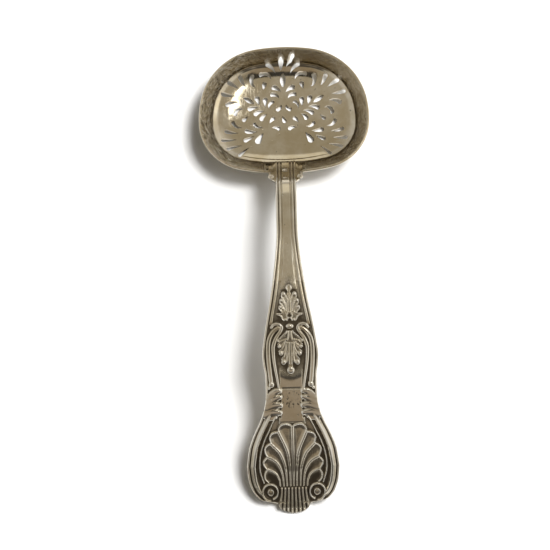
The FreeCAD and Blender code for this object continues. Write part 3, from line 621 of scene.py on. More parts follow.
def piercing_tree():
    """Cuts upright holes, given as flat outlines, through a shell."""
    tree = bpy.data.node_groups.new("Piercing", "GeometryNodeTree")
    nodes = Nodes(tree)
    for name, kind in (
        ("Geometry", "Geometry"), ("Outlines", "Object"), ("Cut height", "Float"), ("Sharp angle", "Float"),
        ("Material", "Material"),
    ):
        tree.interface.new_socket(name, in_out="INPUT", socket_type="NodeSocket" + kind)
    tree.interface.new_socket("Geometry", in_out="OUTPUT", socket_type="NodeSocketGeometry")
    given = nodes.add("NodeGroupInput").outputs
    flat = nodes.add("GeometryNodeObjectInfo", {"Object": given["Outlines"]}).outputs["Geometry"]
    lift = {"Mesh": flat, "Offset Scale": given["Cut height"], "Individual": False}
    raised = nodes.add("GeometryNodeExtrudeMesh", lift).outputs["Mesh"]
    under = nodes.add("GeometryNodeFlipFaces", {"Mesh": flat}).outputs["Mesh"]
    both = nodes.add("GeometryNodeJoinGeometry", {"Geometry": [raised, under]}).outputs[0]
    cutter = nodes.add("GeometryNodeMergeByDistance", {"Geometry": both, "Distance": 1e-6}).outputs[0]
    holed = nodes.add(
        "GeometryNodeMeshBoolean", {"Mesh 1": given["Geometry"], "Mesh 2": cutter},
        operation="DIFFERENCE", solver="EXACT",
    ).outputs["Mesh"]
    angle = nodes.add("GeometryNodeInputMeshEdgeAngle").outputs["Unsigned Angle"]
    sharp = nodes.add(
        "FunctionNodeCompare", {"A": angle, "B": given["Sharp angle"]},
        data_type="FLOAT", operation="GREATER_THAN",
    ).outputs["Result"]
    smooth = {"Geometry": holed, "Shade Smooth": True}
    smooth = nodes.add("GeometryNodeSetShadeSmooth", smooth, domain="FACE").outputs[0]
    edged = {"Geometry": smooth, "Selection": sharp, "Shade Smooth": False}
    edged = nodes.add("GeometryNodeSetShadeSmooth", edged, domain="EDGE").outputs[0]
    real = nodes.add("GeometryNodeRealizeInstances", {"Geometry": edged}).outputs[0]
    painted = {"Geometry": real, "Material": given["Material"]}
    nodes.add("NodeGroupOutput", {0: nodes.add("GeometryNodeSetMaterial", painted).outputs[0]})
    return tree


def run_tree(item, tree, values):
    """Runs a node tree on an object and keeps what it gives as the object's plain mesh."""
    modifier = item.modifiers.new(tree.name, "NODES")
    modifier.node_group = tree
    for socket in tree.interface.items_tree:
        if socket.in_out == "INPUT" and socket.name in values:
            modifier[socket.identifier] = values[socket.name]
    graph = bpy.context.evaluated_depsgraph_get()
    mesh = bpy.data.meshes.new_from_object(item.evaluated_get(graph), depsgraph=graph)
    item.modifiers.clear()
    item.data = mesh


class SIFTER_OT_bowl(bpy.types.Operator):
    """Raises the bowl and pierces it"""

    bl_idname = "sifter.bowl"
    bl_label = "Pierced bowl"

    def execute(self, context):
        sizes, finish = context.scene.sifter_bowl, context.scene.sifter_finish
        material = silver("bowl_silver_warm", finish, finish.bright, 1.0, 0.035, dents_and_glints=True)
        shell = shell_object(sizes)
        outlines = outline_object("piercing_outlines", pierced_outlines(sizes), CUT_START)
        run_tree(shell, piercing_tree(), {
            "Outlines": outlines,
            "Cut height": sizes.depth - 4 * CUT_START * MM,
            "Sharp angle": SHARP_ANGLE,
            "Material": material,
        })
        bpy.data.objects.remove(outlines)
        shell.name = "pierced_bowl_silver"
        dress(shell, material, "bowl_silver", "pierced_bowl")
        return {"FINISHED"}


# Handle

# Places along the handle are measured back from the bowl's widest line. The tables give the half
# width, the height or the thickness there. Those named SHARES give both as shares of a stretch.
REACH = -HANDLE_LOW.y / MM


def span(first, last, shares):
    """A table from its first to its last place, from shares of both."""
    return [
        (first[0] + (last[0] - first[0]) * along, first[1] + (last[1] - first[1]) * across)
        for along, across in shares
    ]


STEM_START = (24.4, 3.42)
STEM_END = (41.0, 3.42)
SHOULDER = (80.6, 8.85)
WAIST = (90.0, 8.05)
SHELL_WIDEST = (114.2, 14.7)
TAB_SHARES = [(0.0, 0.0), (0.36, 0.06), (0.6, 0.17), (0.75, 0.31), (0.86, 0.62), (0.93, 0.9), (1.0, 1.0)]
STEM_TO_SHOULDER_SHARES = [
    (0.17, 0.08), (0.37, 0.257), (0.57, 0.48), (0.73, 0.704), (0.885, 0.90), (1.0, 1.0),
]
SHOULDER_TO_WAIST_SHARES = [(0.31, 0.30), (0.65, 0.93), (1.0, 1.0)]
WAIST_TO_SHELL_SHARES = [
    (0.17, 0.02), (0.29, 0.106), (0.43, 0.30), (0.61, 0.632), (0.785, 0.873), (1.0, 1.0),
]
RISE_SHARES = [(0.11, 0.367), (0.212, 0.595), (0.384, 0.81), (0.658, 0.962), (1.0, 1.0)]
FALL_SHARES = [
    (0.174, 0.034), (0.398, 0.156), (0.584, 0.338), (0.745, 0.561), (0.87, 0.768),
    (0.9565, 0.9156), (1.0, 1.0),
]
EDGE_TABLE = [STEM_START, STEM_END]
for last, shares in (
    (SHOULDER, STEM_TO_SHOULDER_SHARES),
    (WAIST, SHOULDER_TO_WAIST_SHARES),
    (SHELL_WIDEST, WAIST_TO_SHELL_SHARES),
):
    EDGE_TABLE += span(EDGE_TABLE[-1], last, shares)
FOOT_SEEN, LAST_ROW = 13.1, REACH - 0.02
TAB_TABLE = span((FOOT_SEEN, 5.9), STEM_START, TAB_SHARES)
TIP_TABLE = [
    SHELL_WIDEST, (117.8, 14.35), (121.4, 13.2), (123.6, 11.5), (124.55, 9.9), (124.95, 8.3),
    (125.2, 6.2), (125.4, 5.3), (126.3, 4.95), (127.3, 4.0), (128.1, 2.4), (REACH, 0.0),
]
RIM_TOP, CROWN, TIP_TOP = (19.6, 14.9), (48.0, 25.4), (REACH - 0.3, 1.9)
# The back of the tongue: its height and place, with the tongue's thickness measured upright
TONGUE_THICK = 1.0
LUG_TABLE = [(5.2, 15.8), (6.0, 16.4), (9.0, 18.9), (12.5, 21.5), (14.9, 22.7)]
TOP_TABLE = [(FOOT_SEEN, 5.0), (14.6, 8.3), (17.3, 12.5), RIM_TOP]
TOP_TABLE += span(RIM_TOP, CROWN, RISE_SHARES) + span(CROWN, TIP_TOP, FALL_SHARES)
# How long the tip's rounding is, and half the tip's height
TIP_ROUND, TIP_HALF = 1.5, 0.95
THICKNESS_TABLE = [(19.6, 3.0), (25.2, 2.75), (30.0, 2.7), (38.0, 2.6), (80.6, 2.1), (REACH, 1.9)]


def half_width(reach):
    """Half of the handle's plan width, rounded off at the tip."""
    stem, tab, tip = (smooth_read(table, reach) for table in (EDGE_TABLE, TAB_TABLE, TIP_TABLE))
    return np.where(reach < STEM_START[0], tab, np.where(reach < SHELL_WIDEST[0], stem, tip))


def row_places():
    """Places of the rows along the handle, close together where the ornament is."""
    rows = []
    for start, end, step in (
        (FOOT_SEEN, 17.0, 0.2), (17.0, 24.0, 0.25), (24.0, 30.0, 0.4), (30.0, 57.0, 0.9),
        (57.0, 88.0, 0.172), (88.0, 100.5, 0.235), (100.5, 121.5, 0.16), (121.5, LAST_ROW, 0.16),
    ):
        rows += list(np.arange(start, end, step))
    return np.array(rows + [LAST_ROW])


def column_places(half, inner_count=75, edge_count=13):
    """Distances from the middle for the right-hand columns, closest near the edge."""
    edge_zone = np.minimum(1.15, half * 0.3)[:, None]
    inner = np.linspace(0, 1, inner_count, endpoint=False)[None, :]
    outer = np.linspace(0, 1, edge_count)[None, :]
    middle = half[:, None] - edge_zone
    return np.concatenate([inner * middle, middle + edge_zone * outer], axis=1)


def mound(distance, half, power=0.6):
    """1 on a line and 0 at half a width from it, rounded over the top."""
    return np.clip(1 - (distance / half) ** 2, 0, 1) ** power


class Relief:
    """Heights above the handle's plain top, over a grid of distances from the middle and reaches.

    Rises, bases, levels and depths are shares of the full relief.
    """

    def __init__(self, across, reach, high, ground):
        self.across, self.reach, self.high, self.ground = across, reach, high, ground
        self.height = np.where(reach < DIE_START, STEM_GROUND, ground)

    def lay(self, height, where):
        """Keeps the higher of what is there and what is laid on it."""
        self.height = np.where(where, np.maximum(self.height, height), self.height)

    def near(self, points, margin=0.0):
        """The part of the grid round some points."""
        low, high = np.min(points, axis=0) - margin, np.max(points, axis=0) + margin
        inside = (self.across >= low[0]) & (self.across <= high[0])
        return inside & (self.reach >= low[1]) & (self.reach <= high[1])

    def away(self, centre):
        """How far each place is from a point."""
        return np.hypot(self.across - centre[0], self.reach - centre[1])

    def within(self, outline):
        """The part of the grid inside an outline."""
        part = self.near(outline)
        x, y = self.across[part], self.reach[part]
        odd = np.zeros(x.shape, bool)
        for (x0, y0), (x1, y1) in zip(outline, np.roll(outline, -1, axis=0)):
            crosses = (y0 > y) != (y1 > y)
            odd ^= crosses & (x < x0 + (y - y0) * (x1 - x0) / (y1 - y0 or 1e-9))
        inside = np.zeros(part.shape, bool)
        inside[part] = odd
        return inside

    def measure(self, points, inside):
        """Distance to a line through points, and how far along it the nearest place is."""
        x, y = self.across[inside], self.reach[inside]
        best, along = np.full(x.shape, 99.0), np.zeros(x.shape)
        for index, (start, end) in enumerate(zip(points[:-1], points[1:])):
            dx, dy = np.subtract(end, start)
            t = np.clip(((x - start[0]) * dx + (y - start[1]) * dy) / (dx * dx + dy * dy + 1e-12), 0, 1)
            distance = np.hypot(x - start[0] - t * dx, y - start[1] - t * dy)
            along = np.where(distance < best, (index + t) / (len(points) - 1), along)
            best = np.minimum(best, distance)
        return best, along

    def ridge(self, points, widths, rises, base=0.0, power=0.6, count=40):
        """A rounded ridge along a curve, with its half width and rise at both ends.

        A count of 0 takes the points as they are.
        """
        if count:
            points = resample(points, count)
        inside = self.near(points, max(widths) + 0.1)
        distance, along = self.measure(points, inside)
        half, rise = (first + (last - first) * along for first, last in (widths, rises))
        body = self.high * (base + rise * mound(distance, half, power))
        body = np.where(distance < half, body, self.height[inside])
        self.height[inside] = np.maximum(self.height[inside], body)

    def dome(self, centre, radius, rise, base=0.0):
        distance = self.away(centre)
        self.lay(self.high * (base + rise * mound(distance, radius, 0.5)), distance < radius)

    def ring(self, centre, radius, half, rise):
        distance = np.abs(self.away(centre) - radius)
        self.lay(self.high * rise * mound(distance, half), distance < half)

    def fill(self, outline, rise):
        """A low plateau inside an outline."""
        self.lay(self.high * rise, self.within(outline))

    def notch(self, points, half, depth):
        """Cuts a wedge that is widest and deepest at its start."""
        inside = self.near(points, half)
        distance, along = self.measure(points, inside)
        cut = self.high * depth * (1 - along) * mound(distance, half * (1.05 - along))
        self.height[inside] = np.maximum(self.height[inside] - cut, self.ground)

    def sink(self, centre, radius, level):
        """Presses a round hollow down to a level."""
        pressed = np.minimum(self.height, self.high * level)
        self.height = np.where(self.away(centre) < radius, pressed, self.height)


# Palmettes, right half: places are distances from the middle and back along the handle.
# Each lobe: its head's centre, the head's radius, its outer edge and its inner edge.
UPPER_LOBES = [
    (
        (1.72, 61.8), 0.95, [(2.45, 62.4), (1.60, 63.9), (0.98, 65.4), (0.74, 67.6)],
        [(1.0, 62.3), (0.50, 63.6), (0.40, 67.4)],
    ),
    (
        (2.42, 63.8), 0.82, [(3.00, 64.4), (2.15, 65.5), (1.42, 66.6), (1.20, 67.9)],
        [(1.70, 64.1), (1.08, 65.6), (0.84, 67.6)],
    ),
    (
        (2.84, 65.8), 0.70, [(3.30, 66.3), (2.55, 67.1), (2.05, 68.0)],
        [(2.25, 66.0), (1.55, 66.9), (1.35, 67.9)],
    ),
]
UPPER_BODY = [
    (0.0, 60.8), (0.5, 61.2), (0.95, 62.3), (2.0, 62.6), (1.85, 63.2), (2.6, 64.5), (2.2, 65.1),
    (3.0, 66.2), (2.4, 66.9), (2.2, 67.7), (0.0, 67.7),
]
UPPER_SKIRT = [
    (0.0, 67.0), (0.85, 67.1), (1.6, 67.5), (2.5, 67.9), (3.95, 67.95), (3.2, 68.35), (2.55, 68.8),
    (2.25, 69.5), (1.75, 70.0), (1.25, 69.6), (0.8, 70.0), (0.5, 69.3), (0.0, 69.1),
]
LOWER_LOBES = [
    (
        (3.42, 77.95), 0.72, [(3.85, 77.3), (3.05, 76.7), (2.3, 76.1)],
        [(2.75, 77.9), (2.0, 77.0), (1.5, 76.2)],
    ),
    (
        (2.94, 80.1), 0.88, [(3.55, 79.5), (2.45, 78.3), (1.75, 76.8)],
        [(2.2, 80.0), (1.45, 78.6), (1.1, 76.6)],
    ),
    (
        (2.16, 82.75), 1.02, [(2.85, 82.0), (1.75, 80.3), (1.15, 76.9)],
        [(1.25, 82.4), (0.82, 80.4), (0.60, 76.8)],
    ),
]
LOWER_BODY = [
    (0.0, 84.2), (0.60, 84.1), (0.72, 82.4), (1.3, 82.0), (2.3, 81.8), (1.85, 80.8), (2.5, 80.0),
    (3.1, 79.2), (2.5, 78.6), (3.3, 77.6), (2.4, 76.2), (0.0, 76.2),
]
LOWER_SKIRT = [
    (0.0, 73.0), (0.9, 73.2), (1.5, 74.0), (2.4, 74.7), (3.2, 75.5), (3.95, 76.2), (3.2, 76.5),
    (2.4, 76.2), (1.6, 76.0), (1.15, 75.8), (0.0, 76.7),
]
# Scroll bands, each from its hooked head down to the waist
HOOK_BAND = [
    (5.75, 72.1), (5.1, 71.3), (3.95, 71.05), (2.95, 71.4), (2.5, 72.2), (2.8, 73.1), (3.6, 74.2),
    (4.45, 75.5), (5.05, 77.0),
]
INNER_BAND = [(5.05, 77.0), (5.35, 78.4), (5.25, 81.5), (4.9, 84.4), (4.4, 87.4), (3.95, 90.4)]
OUTER_BAND = [
    (3.5, 72.2), (4.4, 72.7), (5.4, 73.6), (6.25, 75.0), (6.75, 76.6), (6.95, 79.0),
    (6.9, 82.0), (6.65, 85.0), (6.3, 88.4),
]
# Leaves beside the panel, from the root to the tip, and the dark notches between their tips
WAIST_LEAVES = [
    [(6.5, 93.2), (5.7, 92.2), (4.8, 91.6), (3.75, 91.5)],
    [(7.2, 94.9), (6.0, 94.1), (4.9, 93.6), (3.72, 93.2)],
    [(7.6, 96.4), (6.3, 96.0), (4.9, 95.7), (3.6, 95.8)],
    [(8.1, 98.6), (6.6, 98.0), (5.2, 97.9), (3.8, 98.0)],
]
LEAF_GROUND = [
    (4.0, 91.0), (5.3, 91.2), (6.4, 92.2), (6.9, 93.4), (7.6, 95.1), (7.8, 96.5), (8.5, 98.2), (8.6, 100.4),
    (5.8, 100.2), (4.6, 99.6), (4.0, 98.6), (3.8, 96.4), (3.8, 93.5),
]
LEAF_NOTCHES = [
    [(3.5, 92.4), (4.9, 92.8)], [(3.5, 94.5), (5.1, 94.8)], [(3.5, 96.9), (5.2, 96.9)],
    [(3.7, 99.3), (5.2, 99.2)],
]
# Shell: the ridges between its lobes, from the heads' notches to the binding, and the heads
SHELL_RIDGES = [
    [(0.0, 102.2), (0.0, 108.0), (0.0, 115.0), (0.0, 120.2)],
    [(4.4, 103.7), (3.65, 105.3), (2.5, 107.7), (1.65, 110.0), (1.25, 112.7), (1.07, 115.6), (1.0, 120.1)],
    [(6.95, 107.2), (5.6, 108.5), (4.3, 109.8), (3.4, 111.5), (2.75, 113.4), (2.35, 115.8), (2.1, 120.1)],
    [(8.05, 111.2), (6.7, 111.8), (5.4, 112.7), (4.55, 113.8), (3.85, 115.3), (3.4, 117.2), (3.15, 120.1)],
    [(8.3, 115.0), (7.3, 115.2), (6.2, 115.8), (5.2, 116.7), (4.75, 117.7), (4.45, 118.5), (4.3, 120.1)],
]
SHELL_HEADS = [
    [(0.0, 102.2), (0.9, 101.6), (2.3, 101.3), (3.6, 101.7), (4.4, 102.7), (4.4, 103.7)],
    [(4.4, 103.7), (5.5, 103.8), (6.7, 104.3), (7.3, 105.5), (7.05, 106.6), (6.95, 107.2)],
    [(6.95, 107.2), (8.1, 107.7), (8.85, 108.7), (8.75, 110.0), (8.05, 111.2)],
    [(8.05, 111.2), (9.0, 112.0), (9.5, 113.0), (9.1, 114.0), (8.3, 115.0)],
    [(8.3, 115.0), (8.9, 115.9), (9.2, 117.0), (8.85, 118.1), (8.0, 118.9)],
]
THIN_RIDGE = [
    (5.0, 99.2), (5.8, 100.3), (7.35, 103.3), (8.95, 106.5), (10.1, 109.9), (10.55, 112.7),
    (10.45, 115.7), (9.4, 119.0),
]
VOLUTE = (7.38, 122.0)
# Where the sunk ground of the ornament starts, and the stem's ground before it
DIE_START = 57.8
STEM_GROUND = -0.04
# Where the stem's middle, the threads and the panel end
FLAT_END = 60.4
INNER_THREAD_END, THREAD_END = 71.4, 124.6
PANEL_START, PANEL_END = 86.8, 101.5
# Where the cut binding under the shell lies, and the reeds start
BINDING = 120.3
# The rounding along the handle's edges, the panel's specks, and the wear of level places and sides
EDGE_ROUND = 0.28
SPECK_DEPTH, SPECK_DULLING = 0.05, 0.42
LEVEL_WEAR, SIDE_WEAR = 0.50, 0.62


def palmette(relief, body, lobes, skirt):
    """A fan of hollow lobes with domed heads, gathered at a skirt of pointed leaves."""
    relief.fill(body, 0.52)
    for head, radius, outer, inner in lobes:
        relief.fill(outer + inner[::-1], 0.62)
        relief.dome(head, radius * 0.80, 0.55, 0.50)
        for line in (outer, inner):
            relief.ridge(line, (0.20, 0.17), (0.30, 0.20), 0.60)
    relief.fill(skirt, 0.58)
    relief.ridge(skirt[1:-1], (0.22, 0.22), (0.36, 0.36), 0.58, count=70)


def threads(relief, edge, low, bead):
    """Two threads each side of the stem's flat middle; the outer one runs on round the handle."""
    across, reach = relief.across, relief.reach
    stem_edge = np.where(reach < STEM_START[0], STEM_START[1] - across, edge)
    flat_edge = 2.15 + smoothstep(45, 58, reach) * 0.9
    flat = low * 0.75 * smoothstep(-0.12, 0.16, stem_edge - flat_edge)
    fade = 1 - smoothstep(50.0, FLAT_END, reach)
    flat = flat * fade + STEM_GROUND * (1 - fade)
    relief.lay(flat, (reach < FLAT_END) & (stem_edge > flat_edge - 0.12))
    outer = np.abs(stem_edge - bead)
    relief.lay(low * mound(outer, bead), (outer < bead) & (reach < THREAD_END))
    inner_half = 0.32 + smoothstep(46, 62, reach) * 0.18
    inner = np.abs(stem_edge - 1.05 - inner_half)
    rise = low * 0.95 * (1 - smoothstep(69.6, INNER_THREAD_END, reach))
    relief.lay(rise * mound(inner, inner_half, 0.55), (inner < inner_half) & (reach < INNER_THREAD_END))
    web = (reach < STEM_START[0]) & (stem_edge < 0)
    relief.height = np.where(web, 0.05 - 0.45 * smoothstep(0.1, 1.5, -stem_edge), relief.height)


def struck_shell(relief):
    """Hollow lobes between wires, double where two lobes meet."""
    across, reach, high = relief.across, relief.reach, relief.high
    ridges = [resample(points, 40) for points in SHELL_RIDGES]
    heads = [resample(points, 22) for points in SHELL_HEADS]
    foot = [(8.0, 118.9), (5.0, BINDING), (0, BINDING)]
    within = relief.within(np.vstack([points[:-1] for points in heads] + [foot]))
    zone = (reach > 99.5) & (reach < 121.2) & (across < 10.2)
    near_ridge, near_head = np.full(across.shape, 99.0), np.full(across.shape, 99.0)
    for curves, field in ((ridges, near_ridge), (heads, near_head)):
        for points in curves:
            part = zone & relief.near(points, 2.6)
            field[part] = np.minimum(field[part], relief.measure(points, part)[0])
    nearest = np.minimum(near_ridge, near_head)
    throat = smoothstep(113.5, 118.5, reach)
    upper = 1 - smoothstep(104, 112, reach)
    hollow = 0.46 + 0.10 * upper - 0.22 * smoothstep(0.3, 1.3, nearest) - 0.24 * throat
    relief.lay(high * hollow, within)
    apart = 0.17 * (1 - throat)
    wires = mound(np.abs(near_ridge - apart), 0.18 + 0.11 * throat)
    wires = np.maximum(wires, mound(near_ridge, 0.20) * 0.80)
    relief.lay(high * (1.0 - 0.30 * throat) * wires, within & (near_ridge < 0.5) & (reach < 120.2))
    relief.lay(high * mound(near_head, 0.22), zone & (near_head < 0.22))
    rough = (reach > 118.3) & (reach < BINDING) & (across < 5.2)
    chatter = 0.5 + 0.5 * np.sin(across * 17.0 + reach * 3.1) * np.sin(reach * 13.0)
    relief.height = np.where(rough, relief.height - high * 0.16 * chatter, relief.height)


def struck_ornament(across, reach, edge, sizes):
    """The height of everything that the die left on the handle, from the stem to the tip."""
    values = (sizes.relief, sizes.thread_relief, -sizes.ground, sizes.thread / 2)
    high, low, ground, bead = (value / MM for value in values)
    relief = Relief(across, reach, high, ground)
    threads(relief, edge, low, bead)

    # Palmettes, their pellets and stalks
    relief.dome((0, 59.85), 1.12, 0.35, 0.3)
    relief.ring((0, 59.85), 0.72, 0.42, 0.85)
    relief.fill([(0, 60.6), (0.45, 61.0), (0.42, 67.6), (0, 67.6)], 0.35)
    relief.ridge([(0.28, 60.8), (0.22, 64.0), (0.30, 67.3)], (0.17, 0.17), (0.3, 0.3), 0.55)
    palmette(relief, UPPER_BODY, UPPER_LOBES, UPPER_SKIRT)
    relief.ring((0, 68.35), 0.85, 0.28, 0.95)
    relief.sink((0, 68.5), 0.55, 0.05)
    oval = np.hypot(across / 1.35, (reach - 71.75) / 0.92)
    relief.lay(high * 1.05 * mound(oval, 1, 0.5), oval < 1)
    relief.fill([(0, 73.0), (0.62, 73.5), (0.62, 84.0), (0, 84.0)], 0.40)
    for start, end in ((0.36, 0.45), (0.95, 1.15)):
        stalk = [(start * 0.9, 76.9), (start, 80.0), (end, 83.6 - start)]
        relief.ridge(stalk, (0.19, 0.24), (0.30, 0.40), 0.52)
    palmette(relief, LOWER_BODY, LOWER_LOBES, LOWER_SKIRT)
    relief.ridge([(0.42, 73.3), (0.5, 75.0), (0.9, 76.0)], (0.2, 0.2), (0.3, 0.36), 0.56)
    relief.dome((0, 85.15), 1.2, 0.70, 0.35)

    # Scroll bands and the pellets at their feet
    relief.ridge(OUTER_BAND, (0.70, 0.74), (0.66, 0.70), count=80, power=0.4)
    relief.ridge(HOOK_BAND, (0.52, 0.70), (0.90, 0.80), count=80, power=0.5)
    relief.ridge(INNER_BAND, (0.70, 0.40), (0.80, 0.70), count=50, power=0.45)
    relief.dome((6.15, 89.5), 1.0, 1.0)
    relief.dome((6.95, 90.55), 0.56, 0.8)

    # Plain panel, and the fine line across it
    panel_half = 3.62 + smoothstep(96.5, 100, reach) * 0.55
    panel = low * 0.8 * smoothstep(-0.05, 0.25, panel_half - across)
    panel *= 1 - smoothstep(100.7, 101.4, reach)
    start = smoothstep(-2.2, 2.2, reach - PANEL_START + 0.10 * across ** 2)
    on_panel = (across < panel_half + 0.05) & (reach > 83.0) & (reach < PANEL_END)
    relief.lay(ground + (panel - ground) * start, on_panel)
    relief.height -= 0.22 * mound(np.abs(reach - 90.75), 0.2) * (across < 2.95)

    # Leaves beside the panel
    relief.fill(LEAF_GROUND, 0.56)
    for leaf in WAIST_LEAVES:
        relief.ridge(leaf, (1.25, 0.85), (0.22, 0.45), 0.50, power=0.9)
    for line in LEAF_NOTCHES:
        relief.notch(line, 0.36, 0.75)

    # Sides of the shell: a broad band with its crest near the inner side, and a thin ridge
    outside, crest, inside = 1.02, 2.45, 3.1
    rise = smoothstep(outside, crest + 0.1, edge) * 0.72 + 0.28 * smoothstep(outside, outside + 0.25, edge)
    along = smoothstep(95.5, 99.5, reach) * (1 - smoothstep(121.0, 124.8, reach))
    band = high * 0.92 * along * np.minimum(rise, 1 - smoothstep(crest, inside, edge))
    relief.lay(band, (edge > outside) & (edge < inside) & (reach > 95.5) & (reach < 124.8))
    relief.ridge(THIN_RIDGE, (0.27, 0.30), (0.9, 0.85), count=70)
    struck_shell(relief)

    # Volutes: the edge's bead turns in at the lower corner and curls round a ringed pellet
    relief.sink(VOLUTE, 2.45, 0.10)
    turn = np.linspace(0, 1, 60)
    angle, radius = np.radians(172 - 330 * turn), 2.66 - 0.45 * turn
    curl = np.stack([VOLUTE[0] + radius * np.sin(angle), VOLUTE[1] - radius * np.cos(angle)], axis=1)
    relief.ridge(curl, (0.40, 0.30), (0.80, 0.95), count=0)
    relief.dome(VOLUTE, 0.98, 0.55, 0.35)
    relief.ring(VOLUTE, 0.82, 0.30, 0.95)

    # Reeds at the end, below a cut binding
    fan = smoothstep(121.0, 128.0, reach)
    wave = mound(np.abs((across / (1.10 + 0.20 * fan)) % 1.0 - 0.5), 0.34, 0.7)
    tail = (across < 4.35 + 0.95 * fan) & (relief.away(VOLUTE) > 2.9) & (reach > BINDING)
    relief.lay(high * (0.02 + 0.72 * wave) * smoothstep(BINDING, BINDING + 0.6, reach), tail)
    return relief.height


def blurred(field, rows, columns):
    """A field averaged over a number of rows and columns."""
    for axis, size in ((0, rows), (1, columns)):
        pad = [(0, 0), (0, 0)]
        pad[axis] = (size // 2, size - 1 - size // 2)
        total = np.cumsum(np.pad(field, pad, mode="edge"), axis=axis)
        total = np.insert(total, 0, 0, axis=axis)
        high, low = [slice(None)] * 2, [slice(None)] * 2
        high[axis], low[axis] = slice(size, None), slice(None, -size)
        field = (total[tuple(high)] - total[tuple(low)]) / size
    return field


def panel_specks(across, reach):
    """Where old scratches and pits lie close together on the panel, 0 to 1."""
    grain = np.random.default_rng(5).random(across.shape)
    grain = blurred(blurred(grain, 2, 4), 2, 2)
    grain = (grain - grain.mean()) / grain.std()
    here = smoothstep(91.0, 91.8, reach) * (1 - smoothstep(95.8, 97.6, reach))
    return here * (1 - smoothstep(2.5, 3.3, across)) * smoothstep(0.5, 1.4, grain)


def wear_and_shade_of(height, across, reach):
    """How bright each place is kept: low in the recesses, high on what stands proud, and darker with painted
    shade over the shell's lower end and the reeds.
    """
    proud = height - blurred(blurred(height, 7, 7), 5, 5)
    wide = height - blurred(blurred(height, 25, 23), 17, 15)
    # Brighter over the panel and the shell's upper half.
    brighter_middle = 0.10 * smoothstep(84, 90, reach) * (1 - smoothstep(104, 113, reach))
    # Painted shade: the shell's lower half and the reeds are darkened, a painted dark reflection of the end
    # that turns down.
    painted_end_shade = 0.30 * smoothstep(107, 120, reach) * (1 - 0.6 * smoothstep(8.2, 9.6, across))
    painted_end_shade += 0.12 * smoothstep(120.2, 121.2, reach) * (1 - smoothstep(5.0, 5.6, across))
    calm = smoothstep(58, 60, reach) * (1 - smoothstep(101, 103, reach)) * (1 - smoothstep(4.4, 5.2, across))
    kept = LEVEL_WEAR + (0.75 - 0.38 * calm) * proud + 1.05 * wide + brighter_middle - painted_end_shade
    kept -= 0.09 * calm * (1 - smoothstep(84.5, 87.0, reach))
    return np.clip(kept, 0, 1)


def handle_object(sizes):
    """The handle: a fine grid over its top with the struck relief, and plainer sides and back."""
    rows = row_places()
    half = half_width(rows)
    right = column_places(half)
    across = np.concatenate([-right[:, :0:-1], right], axis=1)
    reach = np.repeat(rows[:, None], across.shape[1], axis=1)
    edge = half[:, None] - np.abs(across)
    specks = panel_specks(np.abs(across), reach)
    height = struck_ornament(np.abs(across), reach, edge, sizes) - SPECK_DEPTH * specks
    # Wear and painted shade, read by the handle's material.
    wear = wear_and_shade_of(height, across, reach) - SPECK_DULLING * specks

    round_off = np.clip((rows - (REACH - TIP_ROUND)) / TIP_ROUND, 0, 1)
    bulge = TIP_HALF * np.sqrt(1 - np.minimum(round_off, 0.999) ** 2)
    top_z = np.where(round_off > 0, TIP_HALF + bulge, smooth_read(TOP_TABLE, rows))
    line = np.stack([rows, top_z], axis=1)
    facing = normals(line)

    # Back of the handle: straight behind the tongue, square to the top further on
    square = line - facing * smooth_read(THICKNESS_TABLE, rows)[:, None]
    low_z = top_z - TONGUE_THICK
    lug = np.stack([np.zeros(len(rows)), -smooth_read(LUG_TABLE, low_z), low_z], axis=1)
    share = smoothstep(17.6, 22.0, rows)[:, None]
    back = settled(lug)[:, 1:] * (-1, 1) * (1 - share) + square * share
    back[:, 1] = np.where(round_off > 0, TIP_HALF - bulge, np.maximum(back[:, 1], 0))

    from_round = 1 - np.clip(edge / EDGE_ROUND, 0, 1)
    sink = EDGE_ROUND * (1 - np.sqrt(1 - from_round ** 2))
    lift = (height - sink) * (1 - smoothstep(REACH - TIP_ROUND, REACH - 0.3, reach))
    top = [across, -(reach + facing[:, :1] * lift), line[:, 1:] + facing[:, 1:] * lift]

    def seen(wide, place):
        return np.stack([wide, -place[:, 0], place[:, 1]], axis=1)

    def strip(share, inward, side):
        """A line along one side, part of the way from the top to the back."""
        place = line + (back - line) * share
        wide = half_width(place[:, 0])
        return seen(side * np.maximum(wide - inward, wide * 0.3), place)

    down = [(0.25, 0.0), (0.55, 0.02), (0.80, 0.14), (0.94, 0.42)]
    under = half_width(np.minimum(back[:, 0], REACH)) * 0.98
    lines = [strip(share, inward, 1) for share, inward in down]
    for share in np.linspace(0.86, -0.86, 13):
        lines.append(seen(share * under, back + (line - back) * 0.10 * share * share))
    lines += [strip(share, inward, -1) for share, inward in down[::-1]]
    section = np.concatenate([np.stack(top, axis=2), np.stack(lines, axis=1)], axis=1)
    item = tube_object("handle_silver_struck", section, merge=False)
    values = np.full(section.shape[:2], SIDE_WEAR)
    values[:, : across.shape[1]] = wear
    layer = item.data.attributes.new("wear", "FLOAT", "POINT")
    layer.data.foreach_set("value", values.ravel().astype(np.float32))
    return item


class SIFTER_OT_handle(bpy.types.Operator):
    """Forges the handle and strikes its ornament"""

    bl_idname = "sifter.handle"
    bl_label = "Struck handle"

    def execute(self, context):
        sizes, finish = context.scene.sifter_handle, context.scene.sifter_finish
        material = silver("handle_silver_worn_and_shaded", finish, finish.bright, 0.85, 0.11, worn_and_shaded=True)
        dress(handle_object(sizes), material, "handle_silver", "handle")
        return {"FINISHED"}


# Joint pieces


def smooth_copy(node, name):
    """A merged, smooth-shaded copy of a node's own solid."""
    item = frame["nodes"][node].copy()
    item.data = frame["nodes"][node].data.copy()
    item.name = name
    item.parent = None
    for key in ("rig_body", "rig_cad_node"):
        if key in item:
            del item[key]
    bpy.context.scene.collection.objects.link(item)
    outward(item)
    item.data.polygons.foreach_set("use_smooth", [True] * len(item.data.polygons))
    item.data.set_sharp_from_angle(angle=math.radians(35))
    return item


